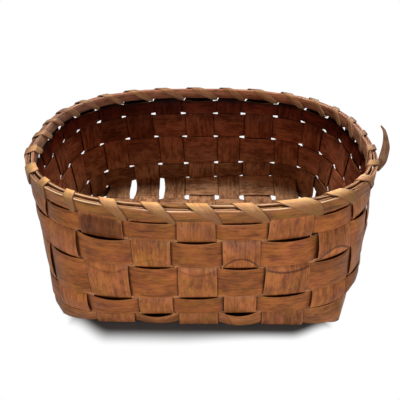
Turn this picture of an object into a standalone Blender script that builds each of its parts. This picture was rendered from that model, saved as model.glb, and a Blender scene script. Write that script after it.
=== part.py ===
"""An oblong wood-splint basket with a lashed rim, built from its separate splints.

The frame: the origin lies under the middle of the base, +X runs along the length,
+Y to the back and +Z up. Lengths are in metres.
"""

import math

import bpy
import numpy as np

# Splints that cross the base and turn up as the stakes of the front and back walls
CROSS_COUNT = 7
CROSS_WIDTH = 0.028
WALL_GAP = 0.005

# Splints that run along the base and turn up as the stakes of the two end walls
LONG_COUNT = 7
LONG_WIDTH = 0.0238
BASE_GAP = 0.0096

# All woven splints; a stake's top is pared narrower where it goes into the rim
SPLINT_THICKNESS = 0.0009
CLEARANCE = 0.0003
STAKE_TIP_SHARE = 0.72

# Plan of the basket, to the middle of the wall's thickness
END_TURN = 0.0175
EDGE_REACH = 0.0072
END_FLARE = 0.0090
SIDE_FLARE = 0.0034

# How square each outline is: 2 is an oval, and a higher power is squarer
FOOT_POWER = 7.0
OPEN_POWER = 2.55
POWER_RISE = 0.3

# Weavers that ring the wall, from the foot up
FOOT_RISE = 0.0150
FOOT_WEAVER_WIDTH = 0.0192
LOWER_WEAVER_WIDTH = 0.0304
UPPER_WEAVER_WIDTH = 0.0242
TOP_WEAVER_WIDTH = 0.0142
WEAVER_GAP = 0.0022
LAP_STEP = 2

# The rim: two hoops that clamp the stake tops, with a thin filler strip between them
HOOP_HEIGHT = 0.0095
HOOP_THICKNESS = 0.0022
FILLER_HEIGHT = 0.0024
FILLER_PROUD = 0.0004
FILLER_BUTT_GAP = 0.0010

# Lashing splint that winds round the rim once in each gap between stakes
LASHING_WIDTH = 0.0115
LASHING_NECK_WIDTH = 0.0028
LASHING_THICKNESS = 0.0007
LASHING_CLEARANCE = 0.0006
LASHING_CORNER = 0.0006
LASHING_ROOM = 0.0030
STAKES_BESIDE = 4

# Loose end of the lashing: how far it stands out, leans back and rises past the rim
TAIL_WIDTH = 0.0075
TAIL_TIP_WIDTH = 0.0022
TAIL_OUT = 0.0075
TAIL_LEAN = 0.0125
TAIL_RISE = 0.0240

# Shares of a turn, or of the tail, at which the lashing's stations stand
TURN_SHARES = (0.0, 0.0, 0.05, 0.36, 0.40, 0.60, 0.64, 0.79, 0.94, 1.0)
TURN_NECK_SHARES = (0.0, 0.0, 0.35, 1.0, 1.0, 1.0, 1.0, 1.0, 0.4, 0.0)
EDGE_SHARES = (0.12, 0.36, 0.62, 0.86)
TURN_UP_SHARES = (0.3, 0.55, 0.8)
BEND_PULL_SHARE = 0.95
TAIL_STEPS = 7
TAIL_BOW_POWER = 0.8
TAIL_LEAN_POWER = 1.5
TAIL_TWIST_SHARE = 0.8
OUTLINE_STEPS = 400
PATH_STEPS = 60

# Places worked out from the sizes above
CROSS_PITCH = CROSS_WIDTH + WALL_GAP
LONG_PITCH = LONG_WIDTH + BASE_GAP
END_PITCH = LONG_WIDTH + WALL_GAP
CROSS_EACH_SIDE = CROSS_COUNT // 2
LONG_EACH_SIDE = LONG_COUNT // 2
STAKES_AROUND = 2 * (CROSS_COUNT + LONG_COUNT)
QUARTER_STAKES = STAKES_AROUND / 4
LAYER = (SPLINT_THICKNESS + CLEARANCE) / 2
BASE_LEVEL = SPLINT_THICKNESS / 2 + LAYER
FOOT_HALF_LENGTH = CROSS_EACH_SIDE * CROSS_PITCH + CROSS_WIDTH / 2 + END_TURN
FOOT_HALF_WIDTH = LONG_EACH_SIDE * LONG_PITCH + EDGE_REACH
EDGE_START = (LONG_EACH_SIDE - 1) * LONG_PITCH + (LONG_WIDTH + BASE_GAP) / 2
WEAVER_WIDTHS = (FOOT_WEAVER_WIDTH, LOWER_WEAVER_WIDTH, UPPER_WEAVER_WIDTH, TOP_WEAVER_WIDTH)
WEAVER_COUNT = len(WEAVER_WIDTHS)
WEAVER_LOW = [FOOT_RISE + sum(WEAVER_WIDTHS[:k]) + k * WEAVER_GAP for k in range(WEAVER_COUNT)]
WEAVER_HIGH = [low + width for low, width in zip(WEAVER_LOW, WEAVER_WIDTHS)]
HOOP_LOW = WEAVER_HIGH[-1] + LASHING_ROOM
HOOP_HIGH = HOOP_LOW + HOOP_HEIGHT
FILLER_HIGH = HOOP_HIGH + FILLER_PROUD
STAKE_TOP = FILLER_HIGH - FILLER_HEIGHT - CLEARANCE
HOOP_MIDDLE = (SPLINT_THICKNESS + HOOP_THICKNESS) / 2 + CLEARANCE
RIM_HALF = HOOP_MIDDLE + HOOP_THICKNESS / 2


def quarter_outline(level):
    """Points of a quarter of the wall's outline at a height, from +X to +Y, and the arc to each."""
    rise = max(level, 0) / HOOP_HIGH
    power = FOOT_POWER + (OPEN_POWER - FOOT_POWER) * rise**POWER_RISE
    half_length = FOOT_HALF_LENGTH + END_FLARE * rise
    half_width = FOOT_HALF_WIDTH + SIDE_FLARE * rise
    turn = np.linspace(0, math.pi / 2, OUTLINE_STEPS)
    x = half_length * np.abs(np.cos(turn)) ** (2 / power)
    y = half_width * np.abs(np.sin(turn)) ** (2 / power)
    arc = np.concatenate([[0], np.cumsum(np.hypot(np.diff(x), np.diff(y)))])
    return x, y, arc


OUTLINES = {}


def outline(level):
    """The quarter outline at a height, worked out once."""
    key = round(level, 9)
    if key not in OUTLINES:
        OUTLINES[key] = quarter_outline(level)
    return OUTLINES[key]


def quarter_share(stake):
    """How far along a quarter of the outline a stake stands: 0 at the end's middle, 1 at the side's."""
    ends = LONG_COUNT / 2
    along = min(stake, ends) * END_PITCH + max(stake - ends, 0) * CROSS_PITCH
    whole = ends * END_PITCH + (QUARTER_STAKES - ends) * CROSS_PITCH
    return along / whole


def around(stake):
    """The place of a stake number, counted from the right end's middle, in quarters of the outline."""
    quarter = math.floor(stake / QUARTER_STAKES)
    rest = stake - quarter * QUARTER_STAKES
    if quarter % 2 == 0:
        return quarter + quarter_share(rest)
    return quarter + 1 - quarter_share(QUARTER_STAKES - rest)


def wall_spot(stake, shift, level):
    """A point of the wall's middle surface: at a stake, shifted along the outline, at a height."""
    x, y, arc = outline(level)
    length = arc[-1]
    place = around(stake) * length + shift
    quarter = math.floor(place / length)
    rest = place - quarter * length
    if quarter % 2 == 1:
        rest = length - rest
    sign_x = -1 if quarter % 4 in (1, 2) else 1
    sign_y = -1 if quarter % 4 in (2, 3) else 1
    return np.array([sign_x * np.interp(rest, arc, x), sign_y * np.interp(rest, arc, y), level])


def unit(vector):
    return vector / np.linalg.norm(vector)


def wall_point(stake, shift, level):
    """The point of the wall's middle surface and the outward normal there."""
    step = WALL_GAP / 2
    along = wall_spot(stake, shift + step, level) - wall_spot(stake, shift - step, level)
    up = wall_spot(stake, shift, level + step) - wall_spot(stake, shift, level)
    return wall_spot(stake, shift, level), unit(np.cross(along, up))


def base_point(x, y):
    """The point of the base's middle surface and its outward normal, which points down."""
    return np.array([x, y, BASE_LEVEL]), np.array([0.0, 0.0, -1.0])


def turn_up(start, stake, shift):
    """A smooth path from a point of the base to the foot weaver's lower edge, by distance."""
    end = wall_spot(stake, shift, WEAVER_LOW[0])
    corner = wall_spot(stake, shift, start[2])
    pull_a = start + (corner - start) * BEND_PULL_SHARE
    pull_b = end + (corner - end) * BEND_PULL_SHARE
    t = np.linspace(0, 1, PATH_STEPS)[:, None]
    path = (1 - t) ** 3 * start + 3 * (1 - t) ** 2 * t * pull_a + 3 * (1 - t) * t**2 * pull_b + t**3 * end
    steps = np.linalg.norm(np.diff(path, axis=0), axis=1)
    return path, np.concatenate([[0], np.cumsum(steps)])


def along_path(path, share):
    """The point at a share of a path's length, and the direction there."""
    points, distance = path
    place = share * distance[-1]
    spot = np.array([np.interp(place, distance, points[:, axis]) for axis in range(3)])
    index = min(max(np.searchsorted(distance, place), 1), len(points) - 1)
    return spot, unit(points[index] - points[index - 1])


def side_stake(number, side):
    """The stake number round the wall of a cross splint: side is -1 at the front, 1 at the back."""
    middle = 3 * QUARTER_STAKES if side < 0 else QUARTER_STAKES
    return middle - side * number


def end_stake(number, side):
    """The stake number round the wall of a long splint: side is -1 at the left, 1 at the right."""
    return number if side > 0 else 2 * QUARTER_STAKES - number


def edge_point(number, half, side, share):
    """A point where a cross splint's edge bends over the base's long edge, and the normal there."""
    x = number * CROSS_PITCH + half * CROSS_WIDTH / 2
    stake = side_stake(number, side)
    start = np.array([x, side * EDGE_START, BASE_LEVEL])
    shift = -side * half * CROSS_WIDTH / 2
    spot, direction = along_path(turn_up(start, stake, shift), share)
    ahead = start + [WALL_GAP, 0, 0]
    beside, _ = along_path(turn_up(ahead, stake, shift - side * WALL_GAP), share)
    return spot, unit(np.cross(direction, beside - spot)) * side


def crossing(spots, offset, thickness):
    """One section of a splint: its outer and inner point at each place across its width."""
    return [(p + n * (offset + thickness / 2), p + n * (offset - thickness / 2)) for p, n in spots]


def woven(spots, outside):
    """A section of a woven splint, on the outer or the inner side of the one it crosses."""
    return crossing(spots, LAYER if outside else -LAYER, SPLINT_THICKNESS)


def long_edges(number):
    """The y of a long splint's two edges on the flat of the base."""
    return [number * LONG_PITCH + half * LONG_WIDTH / 2 for half in (-1, 1)]


def cross_edges(number):
    """The x of a cross splint's two edges on the base."""
    return [number * CROSS_PITCH + half * CROSS_WIDTH / 2 for half in (-1, 1)]


def wall_sections(stake, width, flip):
    """Sections of a stake up the wall, from the foot weaver to its top inside the rim."""
    halves = (1, -1) if flip else (-1, 1)
    sections = []
    for row in range(WEAVER_COUNT):
        outside = (stake + WEAVER_COUNT - row) % 2 == 0
        for level in (WEAVER_LOW[row], WEAVER_HIGH[row]):
            spots = [wall_point(stake, half * width / 2, level) for half in halves]
            sections.append(woven(spots, outside))
    for level in (HOOP_LOW, STAKE_TOP):
        spots = [wall_point(stake, half * width / 2, level) for half in halves]
        sections.append(pared(crossing(spots, 0, SPLINT_THICKNESS)))
    return sections


def pared(section):
    """A section narrowed from both edges, kept in the flat that the hoops follow."""
    (outer_a, inner_a), (outer_b, inner_b) = section
    cut = (1 - STAKE_TIP_SHARE) / 2
    outer, inner = (outer_b - outer_a) * cut, (inner_b - inner_a) * cut
    return [(outer_a + outer, inner_a + inner), (outer_b - outer, inner_b - inner)]


def cross_splint_sections(number):
    """A cross splint from the front rim, down the wall, over the base and up the back wall."""
    sides = {}
    for side in (-1, 1):
        stake = side_stake(number, side)
        rise = []
        # At the long edges it lies inside the outermost long splints if its number round is even
        outside = (number + CROSS_EACH_SIDE + 1) % 2 == 0
        for share in EDGE_SHARES:
            spots = [edge_point(number, half, side, share) for half in (-1, 1)]
            rise.append(woven(spots, outside))
        sides[side] = rise + wall_sections(stake, CROSS_WIDTH, flip=side > 0)
    flat = []
    for long_number in range(1 - LONG_EACH_SIDE, LONG_EACH_SIDE):
        outside = (number + CROSS_EACH_SIDE + long_number + LONG_EACH_SIDE) % 2 == 1
        for y in long_edges(long_number):
            flat.append(woven([base_point(x, y) for x in cross_edges(number)], outside))
    return sides[-1][::-1] + flat + sides[1]


def long_splint_outside(number, cross_number):
    """Whether a long splint lies under, which is outside, a cross splint of the base."""
    return (number + LONG_EACH_SIDE + cross_number + CROSS_EACH_SIDE) % 2 == 0


def turn_sections(starts, side, stake, shifts):
    """Sections of a long splint where it turns up from the base into an end wall."""
    paths = [turn_up(start, stake, shift) for start, shift in zip(starts, shifts)]
    sections = []
    for share in TURN_UP_SHARES:
        spots = [along_path(path, share) for path in paths]
        across = spots[-1][0] - spots[0][0]
        normals = [unit(np.cross(across, direction)) * side for _, direction in spots]
        sections.append(crossing([(s[0], n) for s, n in zip(spots, normals)], 0, SPLINT_THICKNESS))
    return sections


def inner_long_sections(number):
    """One of the long splints that lie flat on the base: from the left rim to the right rim."""
    flat = []
    for cross_number in range(-CROSS_EACH_SIDE, CROSS_EACH_SIDE + 1):
        for x in cross_edges(cross_number):
            spots = [base_point(x, y) for y in long_edges(number)]
            flat.append(woven(spots, long_splint_outside(number, cross_number)))
    reach = CROSS_EACH_SIDE * CROSS_PITCH + CROSS_WIDTH / 2
    sides = {}
    for side in (-1, 1):
        stake = end_stake(number, side)
        starts = [np.array([side * reach, y, BASE_LEVEL]) for y in long_edges(number)]
        shifts = [side * half * LONG_WIDTH / 2 for half in (-1, 1)]
        turn = turn_sections(starts, side, stake, shifts)
        sides[side] = turn + wall_sections(stake, LONG_WIDTH, flip=side < 0)
    return sides[-1][::-1] + flat + sides[1]


def edge_spots(cross_number, half, side):
    """Places across an outermost long splint, which wraps the base's long edge."""
    spots = [edge_point(cross_number, half, side, share) for share in EDGE_SHARES]
    return spots if side > 0 else spots[::-1]


def outer_wall_sections(number, side):
    """An outermost long splint where it turns up and climbs an end wall beside the corner."""
    stake = end_stake(number, side)
    long_side = 1 if number > 0 else -1
    starts = [spot for spot, _ in edge_spots(side * CROSS_EACH_SIDE, side, long_side)]
    places = np.linspace(-1, 1, len(EDGE_SHARES))
    shifts = [side * place * LONG_WIDTH / 2 for place in places]
    turn = turn_sections(starts, side, stake, shifts)
    climb = wall_sections(stake, LONG_WIDTH, flip=side < 0)
    return turn + [spread(section, len(EDGE_SHARES)) for section in climb]


def spread(section, count):
    """A section of two places across its width, with more places set evenly between them."""
    (outer_a, inner_a), (outer_b, inner_b) = section
    shares = np.linspace(0, 1, count)
    return [(outer_a + (outer_b - outer_a) * k, inner_a + (inner_b - inner_a) * k) for k in shares]


def outer_long_flat(number, first, last):
    """Sections of an outermost long splint along the base's long edge, between two cross splints."""
    long_side = 1 if number > 0 else -1
    sections = []
    for cross_number in range(first, last + 1):
        outside = long_splint_outside(number, cross_number)
        for half in (-1, 1):
            sections.append(woven(edge_spots(cross_number, half, long_side), outside))
    return sections


def weaver_sections(row):
    """A weaver once round the wall, its end lapped inside its start behind one stake."""
    levels = (WEAVER_LOW[row], WEAVER_HIGH[row])
    first = lap_stake(row)
    sections = []
    for stake in range(first, first + STAKES_AROUND + 1):
        outside = (stake + WEAVER_COUNT - row) % 2 == 1
        width = stake_width(stake)
        for half in (-1, 1):
            spots = [wall_point(stake, half * width / 2, level) for level in levels]
            lapped = stake == first + STAKES_AROUND
            offset = -LAYER - 2 * LAYER * lapped if not outside else LAYER
            sections.append(crossing(spots, offset, SPLINT_THICKNESS))
    return sections


def lap_stake(row):
    """The stake behind which a weaver's ends lap: at the back, a step further round for each row."""
    start = int(QUARTER_STAKES) + row * LAP_STEP - WEAVER_COUNT // 2
    return start + (start + WEAVER_COUNT - row) % 2


def stake_width(stake):
    """The width of the stake at a number round the wall."""
    place = stake % STAKES_AROUND
    from_end = min(place % (STAKES_AROUND // 2), -place % (STAKES_AROUND // 2))
    return LONG_WIDTH if from_end <= LONG_EACH_SIDE else CROSS_WIDTH


def rim_stations(first, count):
    """Stake numbers and shifts of a hoop's sections: at each edge of each stake."""
    return [(stake, half * stake_width(stake) / 2) for stake in range(first, first + count) for half in (-1, 1)]


def hoop_sections(first, side):
    """A hoop once round the rim, with its two ends halved where they lap over one stake."""
    stations = rim_stations(first, STAKES_AROUND + 1)
    half_thickness = (HOOP_THICKNESS - CLEARANCE) / 2
    half_shift = (half_thickness + CLEARANCE) / 2
    sections = []
    for index, (stake, shift) in enumerate(stations):
        spots = [wall_point(stake, shift, level) for level in (HOOP_LOW, HOOP_HIGH)]
        if index < 2:
            offset, thickness = side * HOOP_MIDDLE - half_shift, half_thickness
        elif index >= len(stations) - 2:
            offset, thickness = side * HOOP_MIDDLE + half_shift, half_thickness
        else:
            offset, thickness = side * HOOP_MIDDLE, HOOP_THICKNESS
        sections.append(crossing(spots, offset, thickness))
    return sections


def filler_sections():
    """The thin strip on the stake tops between the hoops, its ends meeting at the back."""
    first = int(QUARTER_STAKES)
    stations = rim_stations(first, STAKES_AROUND)
    seam = (first, stake_width(first) / 2 - FILLER_BUTT_GAP)
    stations = [(first, stake_width(first) / 2)] + stations[2:] + [(first, -stake_width(first) / 2), seam]
    sections = []
    for stake, shift in stations:
        spots = [wall_point(stake, shift, level) for level in (FILLER_HIGH - FILLER_HEIGHT, FILLER_HIGH)]
        sections.append(crossing(spots, 0, SPLINT_THICKNESS))
    return sections


def lashing_outline():
    """The lashing's way round the rim: out from the wall's middle, height, and the way it faces."""
    out = RIM_HALF + LASHING_CLEARANCE + LASHING_THICKNESS / 2
    low = HOOP_LOW - LASHING_CLEARANCE - LASHING_THICKNESS / 2
    high = FILLER_HIGH + LASHING_CLEARANCE + LASHING_THICKNESS / 2
    cut = LASHING_CORNER
    places = [
        (0, low),
        (cut - out, low),
        (-out, low + cut),
        (-out, high - cut),
        (cut - out, high),
        (out - cut, high),
        (out, high - cut),
        (out, (low + high) / 2),
        (out, low + cut),
        (out - cut, low),
    ]
    facings = [(0, -1), (-1, -2), (-2, -1), (-2, 1), (-1, 2), (1, 2), (2, 1), (1, 0), (2, -1), (1, -2)]
    return places, facings


def rim_place(stake, shift):
    """How far round the rim a stake number and a shift lie, in metres from the right end's middle."""
    return around(stake) * outline(HOOP_LOW)[2][-1] + shift


def rim_frame(stake, shift):
    """On the hoops' flat stretches: the point at their lower edge, the way out and the way up."""
    place = rim_place(stake, shift)
    before = math.floor(stake) - 1
    stations = rim_stations(before, STAKES_BESIDE)
    places = [rim_place(*station) for station in stations]
    index = min(max(np.searchsorted(places, place), 1), len(places) - 1)
    share = (place - places[index - 1]) / (places[index] - places[index - 1])
    ends = []
    for station in stations[index - 1 : index + 1]:
        low, out = wall_point(*station, HOOP_LOW)
        high, _ = wall_point(*station, HOOP_HIGH)
        ends.append((low, out, high - low))
    low, out, up = (a + (b - a) * share for a, b in zip(*ends))
    return low, unit(out), unit(up)


def lashing_section(stake, place, facing, width):
    """A section of the lashing: two points across its width, each with an outer and an inner one."""
    pair = []
    for half in (-1, 1):
        low, out, up = rim_frame(stake, half * width / 2)
        spot = low + out * place[0] + up * (place[1] - HOOP_LOW)
        face = unit(out * facing[0] + up * facing[1])
        step = face * LASHING_THICKNESS / 2
        pair.append((spot + step, spot - step))
    return pair


def lashing_sections(first_gap, turns):
    """Turns of the lashing, each going under the hoops in one gap and over them to the next."""
    places, facings = lashing_outline()
    sections = []
    for turn in range(turns):
        for place, facing, share, neck in zip(places, facings, TURN_SHARES, TURN_NECK_SHARES):
            width = LASHING_NECK_WIDTH + (LASHING_WIDTH - LASHING_NECK_WIDTH) * neck
            sections.append(lashing_section(first_gap + turn + share, place, facing, width))
    return sections


def tail_sections(gap):
    """The lashing's loose end: out under the hoops, then bowing out, back and up past the rim."""
    low, out, up = rim_frame(gap, 0)
    along = unit(np.cross(up, out))
    clear = LASHING_CLEARANCE + LASHING_THICKNESS
    start = low - up * (clear - LASHING_THICKNESS / 2) + out * (RIM_HALF + 2 * clear)
    rise = HOOP_HEIGHT + TAIL_RISE
    slant = unit(up * rise + along * TAIL_LEAN)
    sections = []
    for step in range(TAIL_STEPS + 1):
        share = step / TAIL_STEPS
        bow = math.sin(math.pi * share**TAIL_BOW_POWER)
        spot = start + out * TAIL_OUT * bow + up * rise * share + along * TAIL_LEAN * share**TAIL_LEAN_POWER
        width = TAIL_WIDTH + (TAIL_TIP_WIDTH - TAIL_WIDTH) * share
        if step == 0:
            width = LASHING_NECK_WIDTH
        turned = unit(np.cross(slant, out)) * -1
        turned = unit(turned + out * share * TAIL_TWIST_SHARE)
        face = unit(np.cross(turned, slant)) if step else unit(out - up)
        pair = []
        for half in (-1, 1):
            edge = spot + turned * half * width / 2
            pair.append((edge + face * LASHING_THICKNESS / 2, edge - face * LASHING_THICKNESS / 2))
        sections.append(pair)
    return sections


def least_gap(sections, turns):
    """The least gap between one turn of the lashing and the next, on points along its edges."""
    per_turn = len(sections) // turns
    points = np.array([[p for pair in section for p in pair] for section in sections])
    least = math.inf
    for turn in range(turns - 1):
        # Two sections each side of the place where one turn runs on into the next are left out
        here = points[turn * per_turn : (turn + 1) * per_turn - 2].reshape(-1, 3)
        after = points[(turn + 1) * per_turn + 2 : (turn + 2) * per_turn].reshape(-1, 3)
        gaps = np.linalg.norm(here[:, None] - after[None], axis=2)
        least = min(least, gaps.min())
    return least


def clear_scene():
    for old in list(bpy.data.objects):
        bpy.data.objects.remove(old, do_unlink=True)


def wood(name, colour, roughness):
    """A matt aged-wood material of its own for one splint."""
    material = bpy.data.materials.new(name)
    material.use_nodes = True
    shader = material.node_tree.nodes["Principled BSDF"]
    shader.inputs["Base Color"].default_value = (*colour, 1)
    shader.inputs["Roughness"].default_value = roughness
    shader.inputs["Metallic"].default_value = 0
    return material


def folded(points, corners):
    """Two triangles of a four-sided face, folded along the diagonal that stands further out.

    Splints that cross share their corners' places, so they fold alike and keep their clearance.
    """
    a, b, c, d = corners
    one, other = (points[a] + points[c]) / 2, (points[b] + points[d]) / 2
    outward = one - [0, 0, HOOP_HIGH / 2]
    if np.dot(one - other, outward) > 0:
        return [(a, b, c), (a, c, d)]
    return [(a, b, d), (b, c, d)]


def add_splint(name, sections, colour, roughness, parent):
    """One closed solid swept through its sections, capped at both ends."""
    rings = [[outer for outer, _ in section] + [inner for _, inner in section[::-1]] for section in sections]
    size = len(rings[0])
    points = np.array([point for ring in rings for point in ring])
    faces = [tuple(range(size))[::-1], tuple(len(points) - size + k for k in range(size))]
    for ring in range(len(rings) - 1):
        for k in range(size):
            a, b = ring * size + k, ring * size + (k + 1) % size
            faces.extend(folded(points, (a, b, b + size, a + size)))
    middle = points.mean(axis=0)
    mesh = bpy.data.meshes.new(name)
    mesh.from_pydata([tuple(point) for point in points - middle], [], faces)
    if signed_volume(mesh) < 0:
        mesh.flip_normals()
    mesh.materials.append(wood(name, colour, roughness))
    splint = bpy.data.objects.new(name, mesh)
    splint.location = middle
    splint.parent = parent
    bpy.context.scene.collection.objects.link(splint)
    return splint


def signed_volume(mesh):
    """Positive when the faces point out."""
    mesh.calc_loop_triangles()
    total = 0
    for triangle in mesh.loop_triangles:
        a, b, c = (mesh.vertices[index].co for index in triangle.vertices)
        total += a.dot(b.cross(c))
    return total


CROSS_COLOUR = (0.30, 0.135, 0.062)
LONG_COLOUR = (0.27, 0.125, 0.060)
WEAVER_COLOUR = (0.33, 0.145, 0.062)
HOOP_COLOUR = (0.29, 0.14, 0.07)
FILLER_COLOUR = (0.42, 0.26, 0.14)
LASHING_COLOUR = (0.52, 0.29, 0.14)
SPLINT_ROUGHNESS = 0.6
RIM_ROUGHNESS = 0.5

# The back long splint is broken off along the base's edge between these cross splints
BROKEN_FROM = -CROSS_EACH_SIDE
BROKEN_TO = 2 - CROSS_EACH_SIDE

# The lashing is spliced from two lengths; its loose end stands at the right end, before this stake
TAIL_STAKE = -1
GAP_SHARE = 0.5
TAIL_PLACE = TAIL_STAKE - GAP_SHARE


def build_cross_splints(parent):
    for number in range(-CROSS_EACH_SIDE, CROSS_EACH_SIDE + 1):
        name = f"cross_splint_{number + CROSS_EACH_SIDE + 1}"
        add_splint(name, cross_splint_sections(number), CROSS_COLOUR, SPLINT_ROUGHNESS, parent)


def build_long_splints(parent):
    for number in range(1 - LONG_EACH_SIDE, LONG_EACH_SIDE):
        name = f"long_splint_{number + LONG_EACH_SIDE + 1}"
        add_splint(name, inner_long_sections(number), LONG_COLOUR, SPLINT_ROUGHNESS, parent)
    front, back = -LONG_EACH_SIDE, LONG_EACH_SIDE
    whole = outer_wall_sections(front, -1)[::-1]
    whole += outer_long_flat(front, -CROSS_EACH_SIDE, CROSS_EACH_SIDE)
    whole += outer_wall_sections(front, 1)
    add_splint("long_splint_1", whole, LONG_COLOUR, SPLINT_ROUGHNESS, parent)
    kept = outer_long_flat(back, BROKEN_TO, CROSS_EACH_SIDE) + outer_wall_sections(back, 1)
    add_splint(f"long_splint_{LONG_COUNT}", kept, LONG_COLOUR, SPLINT_ROUGHNESS, parent)
    stub = outer_wall_sections(back, -1)[::-1] + outer_long_flat(back, BROKEN_FROM, BROKEN_FROM)
    add_splint(f"long_splint_{LONG_COUNT}_broken_end", stub, LONG_COLOUR, SPLINT_ROUGHNESS, parent)


def build_weavers(parent):
    names = ("weaver_1_foot", "weaver_2_lower", "weaver_3_upper", "weaver_4_top")
    for row, name in enumerate(names):
        add_splint(name, weaver_sections(row), WEAVER_COLOUR, SPLINT_ROUGHNESS, parent)


def build_rim(parent):
    outer_lap = STAKES_AROUND - LONG_EACH_SIDE
    inner_lap = int(QUARTER_STAKES) - LONG_EACH_SIDE
    add_splint("rim_hoop_outer", hoop_sections(outer_lap, 1), HOOP_COLOUR, RIM_ROUGHNESS, parent)
    add_splint("rim_hoop_inner", hoop_sections(inner_lap, -1), HOOP_COLOUR, RIM_ROUGHNESS, parent)
    add_splint("rim_filler_strip", filler_sections(), FILLER_COLOUR, RIM_ROUGHNESS, parent)


def build_lashing(parent):
    half = STAKES_AROUND // 2
    # The loose end is drawn first, from its tip down to the gap where it goes under the hoops
    first = tail_sections(TAIL_PLACE)[::-1] + lashing_sections(TAIL_PLACE, half)[:-1]
    add_splint("rim_lashing_back", first, LASHING_COLOUR, RIM_ROUGHNESS, parent)
    turns = lashing_sections(TAIL_PLACE + half, half)
    add_splint("rim_lashing_front", turns[2:-2], LASHING_COLOUR, RIM_ROUGHNESS, parent)
    for name, first_gap in (("back", TAIL_PLACE), ("front", TAIL_PLACE + half)):
        gap = least_gap(lashing_sections(first_gap, half), half)
        print(f"least gap of the {name} lashing to itself: {gap * 1000:.2f} mm")


def main():
    clear_scene()
    basket = bpy.data.objects.new("basket", None)
    bpy.context.scene.collection.objects.link(basket)
    build_cross_splints(basket)
    build_long_splints(basket)
    build_weavers(basket)
    build_rim(basket)
    build_lashing(basket)


main()
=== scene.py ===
# %% [markdown]
# # A lashed basket of woven wood splints
# The packed model gives every strip of this basket its true place and size. This lesson
# weaves the strips again with bends, bulges, grain and wear, and lights the basket softly.

# %% Load the frame
import math

import bpy
import numpy as np
from mathutils import Matrix, Vector


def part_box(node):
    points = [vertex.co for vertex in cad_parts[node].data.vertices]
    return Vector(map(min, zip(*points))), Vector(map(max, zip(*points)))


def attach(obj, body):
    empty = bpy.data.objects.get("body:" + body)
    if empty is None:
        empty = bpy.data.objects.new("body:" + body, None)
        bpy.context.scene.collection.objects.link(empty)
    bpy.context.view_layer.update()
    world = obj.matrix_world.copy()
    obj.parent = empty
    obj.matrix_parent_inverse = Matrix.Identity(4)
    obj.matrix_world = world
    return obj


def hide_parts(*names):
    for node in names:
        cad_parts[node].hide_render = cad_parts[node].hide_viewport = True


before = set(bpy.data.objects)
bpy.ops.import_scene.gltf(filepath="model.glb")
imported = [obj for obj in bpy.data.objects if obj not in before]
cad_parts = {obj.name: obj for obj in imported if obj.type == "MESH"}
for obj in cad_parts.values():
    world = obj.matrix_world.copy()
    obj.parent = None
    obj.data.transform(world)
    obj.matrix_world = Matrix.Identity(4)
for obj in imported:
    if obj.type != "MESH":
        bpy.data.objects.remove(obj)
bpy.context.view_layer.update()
print("frame:", len(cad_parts), "nodes")

# %% [markdown]
# ## Sizes
# The packed strips are measured for the heights of the weavers and the rim. The few widths
# and pitches that a box can't tell are named here, in millimetres turned into metres.

# %% Measure the frame
MM = 0.001
WEAVERS = ("weaver_1_foot", "weaver_2_lower", "weaver_3_upper", "weaver_4_top")
WEAVER_LOW = [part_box(name)[0].z for name in WEAVERS]
WEAVER_HIGH = [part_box(name)[1].z for name in WEAVERS]
hoop_low, hoop_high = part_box("rim_hoop_outer")
HOOP_LOW, HOOP_HIGH = hoop_low.z, hoop_high.z
FILLER_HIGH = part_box("rim_filler_strip")[1].z
STAKE_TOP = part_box("cross_splint_4")[1].z
print("weavers from", [round(low / MM, 1) for low in WEAVER_LOW], "mm up, rim at", round(HOOP_LOW / MM, 1))

# %% Name the widths and pitches
CROSS_PITCH, CROSS_WIDTH = 33 * MM, 28 * MM
LONG_PITCH, LONG_WIDTH = 33.4 * MM, 23.8 * MM
END_PITCH = 28.8 * MM
THICKNESS, CLEARANCE = 0.9 * MM, 0.3 * MM
LAYER = (THICKNESS + CLEARANCE) / 2
BASE_LEVEL = THICKNESS / 2 + LAYER
EDGE_START = 83.5 * MM
STAKES = 28
QUARTER = STAKES / 4
HOOP_THICKNESS = 2.2 * MM
HOOP_MIDDLE = (THICKNESS + HOOP_THICKNESS) / 2 + CLEARANCE
RIM_HALF = HOOP_MIDDLE + HOOP_THICKNESS / 2
CROSS_HALF = CROSS_WIDTH / CROSS_PITCH / 2
LONG_HALF = LONG_WIDTH / END_PITCH / 2
print("stakes:", STAKES, "in layers", round(LAYER / MM, 2), "mm off the wall's middle")

# %% [markdown]
# ## Two small measures
# Distances along a path and directions of unit length are needed for every strip, so the two
# functions for them come first.

# %% Measure paths and directions


def distances(path):
    """How far along its path each point lies; a path may hold several columns side by side."""
    steps = np.linalg.norm(np.diff(path, axis=0), axis=-1)
    return np.concatenate([np.zeros_like(steps[:1]), np.cumsum(steps, axis=0)])


def unit(vectors):
    """The same directions, each 1 long."""
    return vectors / np.linalg.norm(vectors, axis=-1, keepdims=True)


print("a step 3 across and 4 up is", distances(np.array([[0, 0], [3, 4]]))[-1], "long")

# %% [markdown]
# ## The wall as one surface
# Every strip of the wall lies a hair outside or inside one shared surface, so that surface is
# made first. In plan it is a superellipse, squarer at the foot and rounder at the rim. A table
# of its outlines turns a stake number and a height into a point, for whole arrays at once.

# %% Tabulate the outlines of the wall
FOOT_POWER, OPEN_POWER, POWER_RISE = 7.0, 2.55, 0.3
END_FLARE, SIDE_FLARE = 9.0 * MM, 3.4 * MM
FOOT_HALF_LENGTH = hoop_high.x - RIM_HALF - END_FLARE
FOOT_HALF_WIDTH = hoop_high.y - RIM_HALF - SIDE_FLARE
TABLE_STEPS, ARC_STEPS = 64, 240
TABLE_TOP = HOOP_HIGH + 3 * MM


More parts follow.
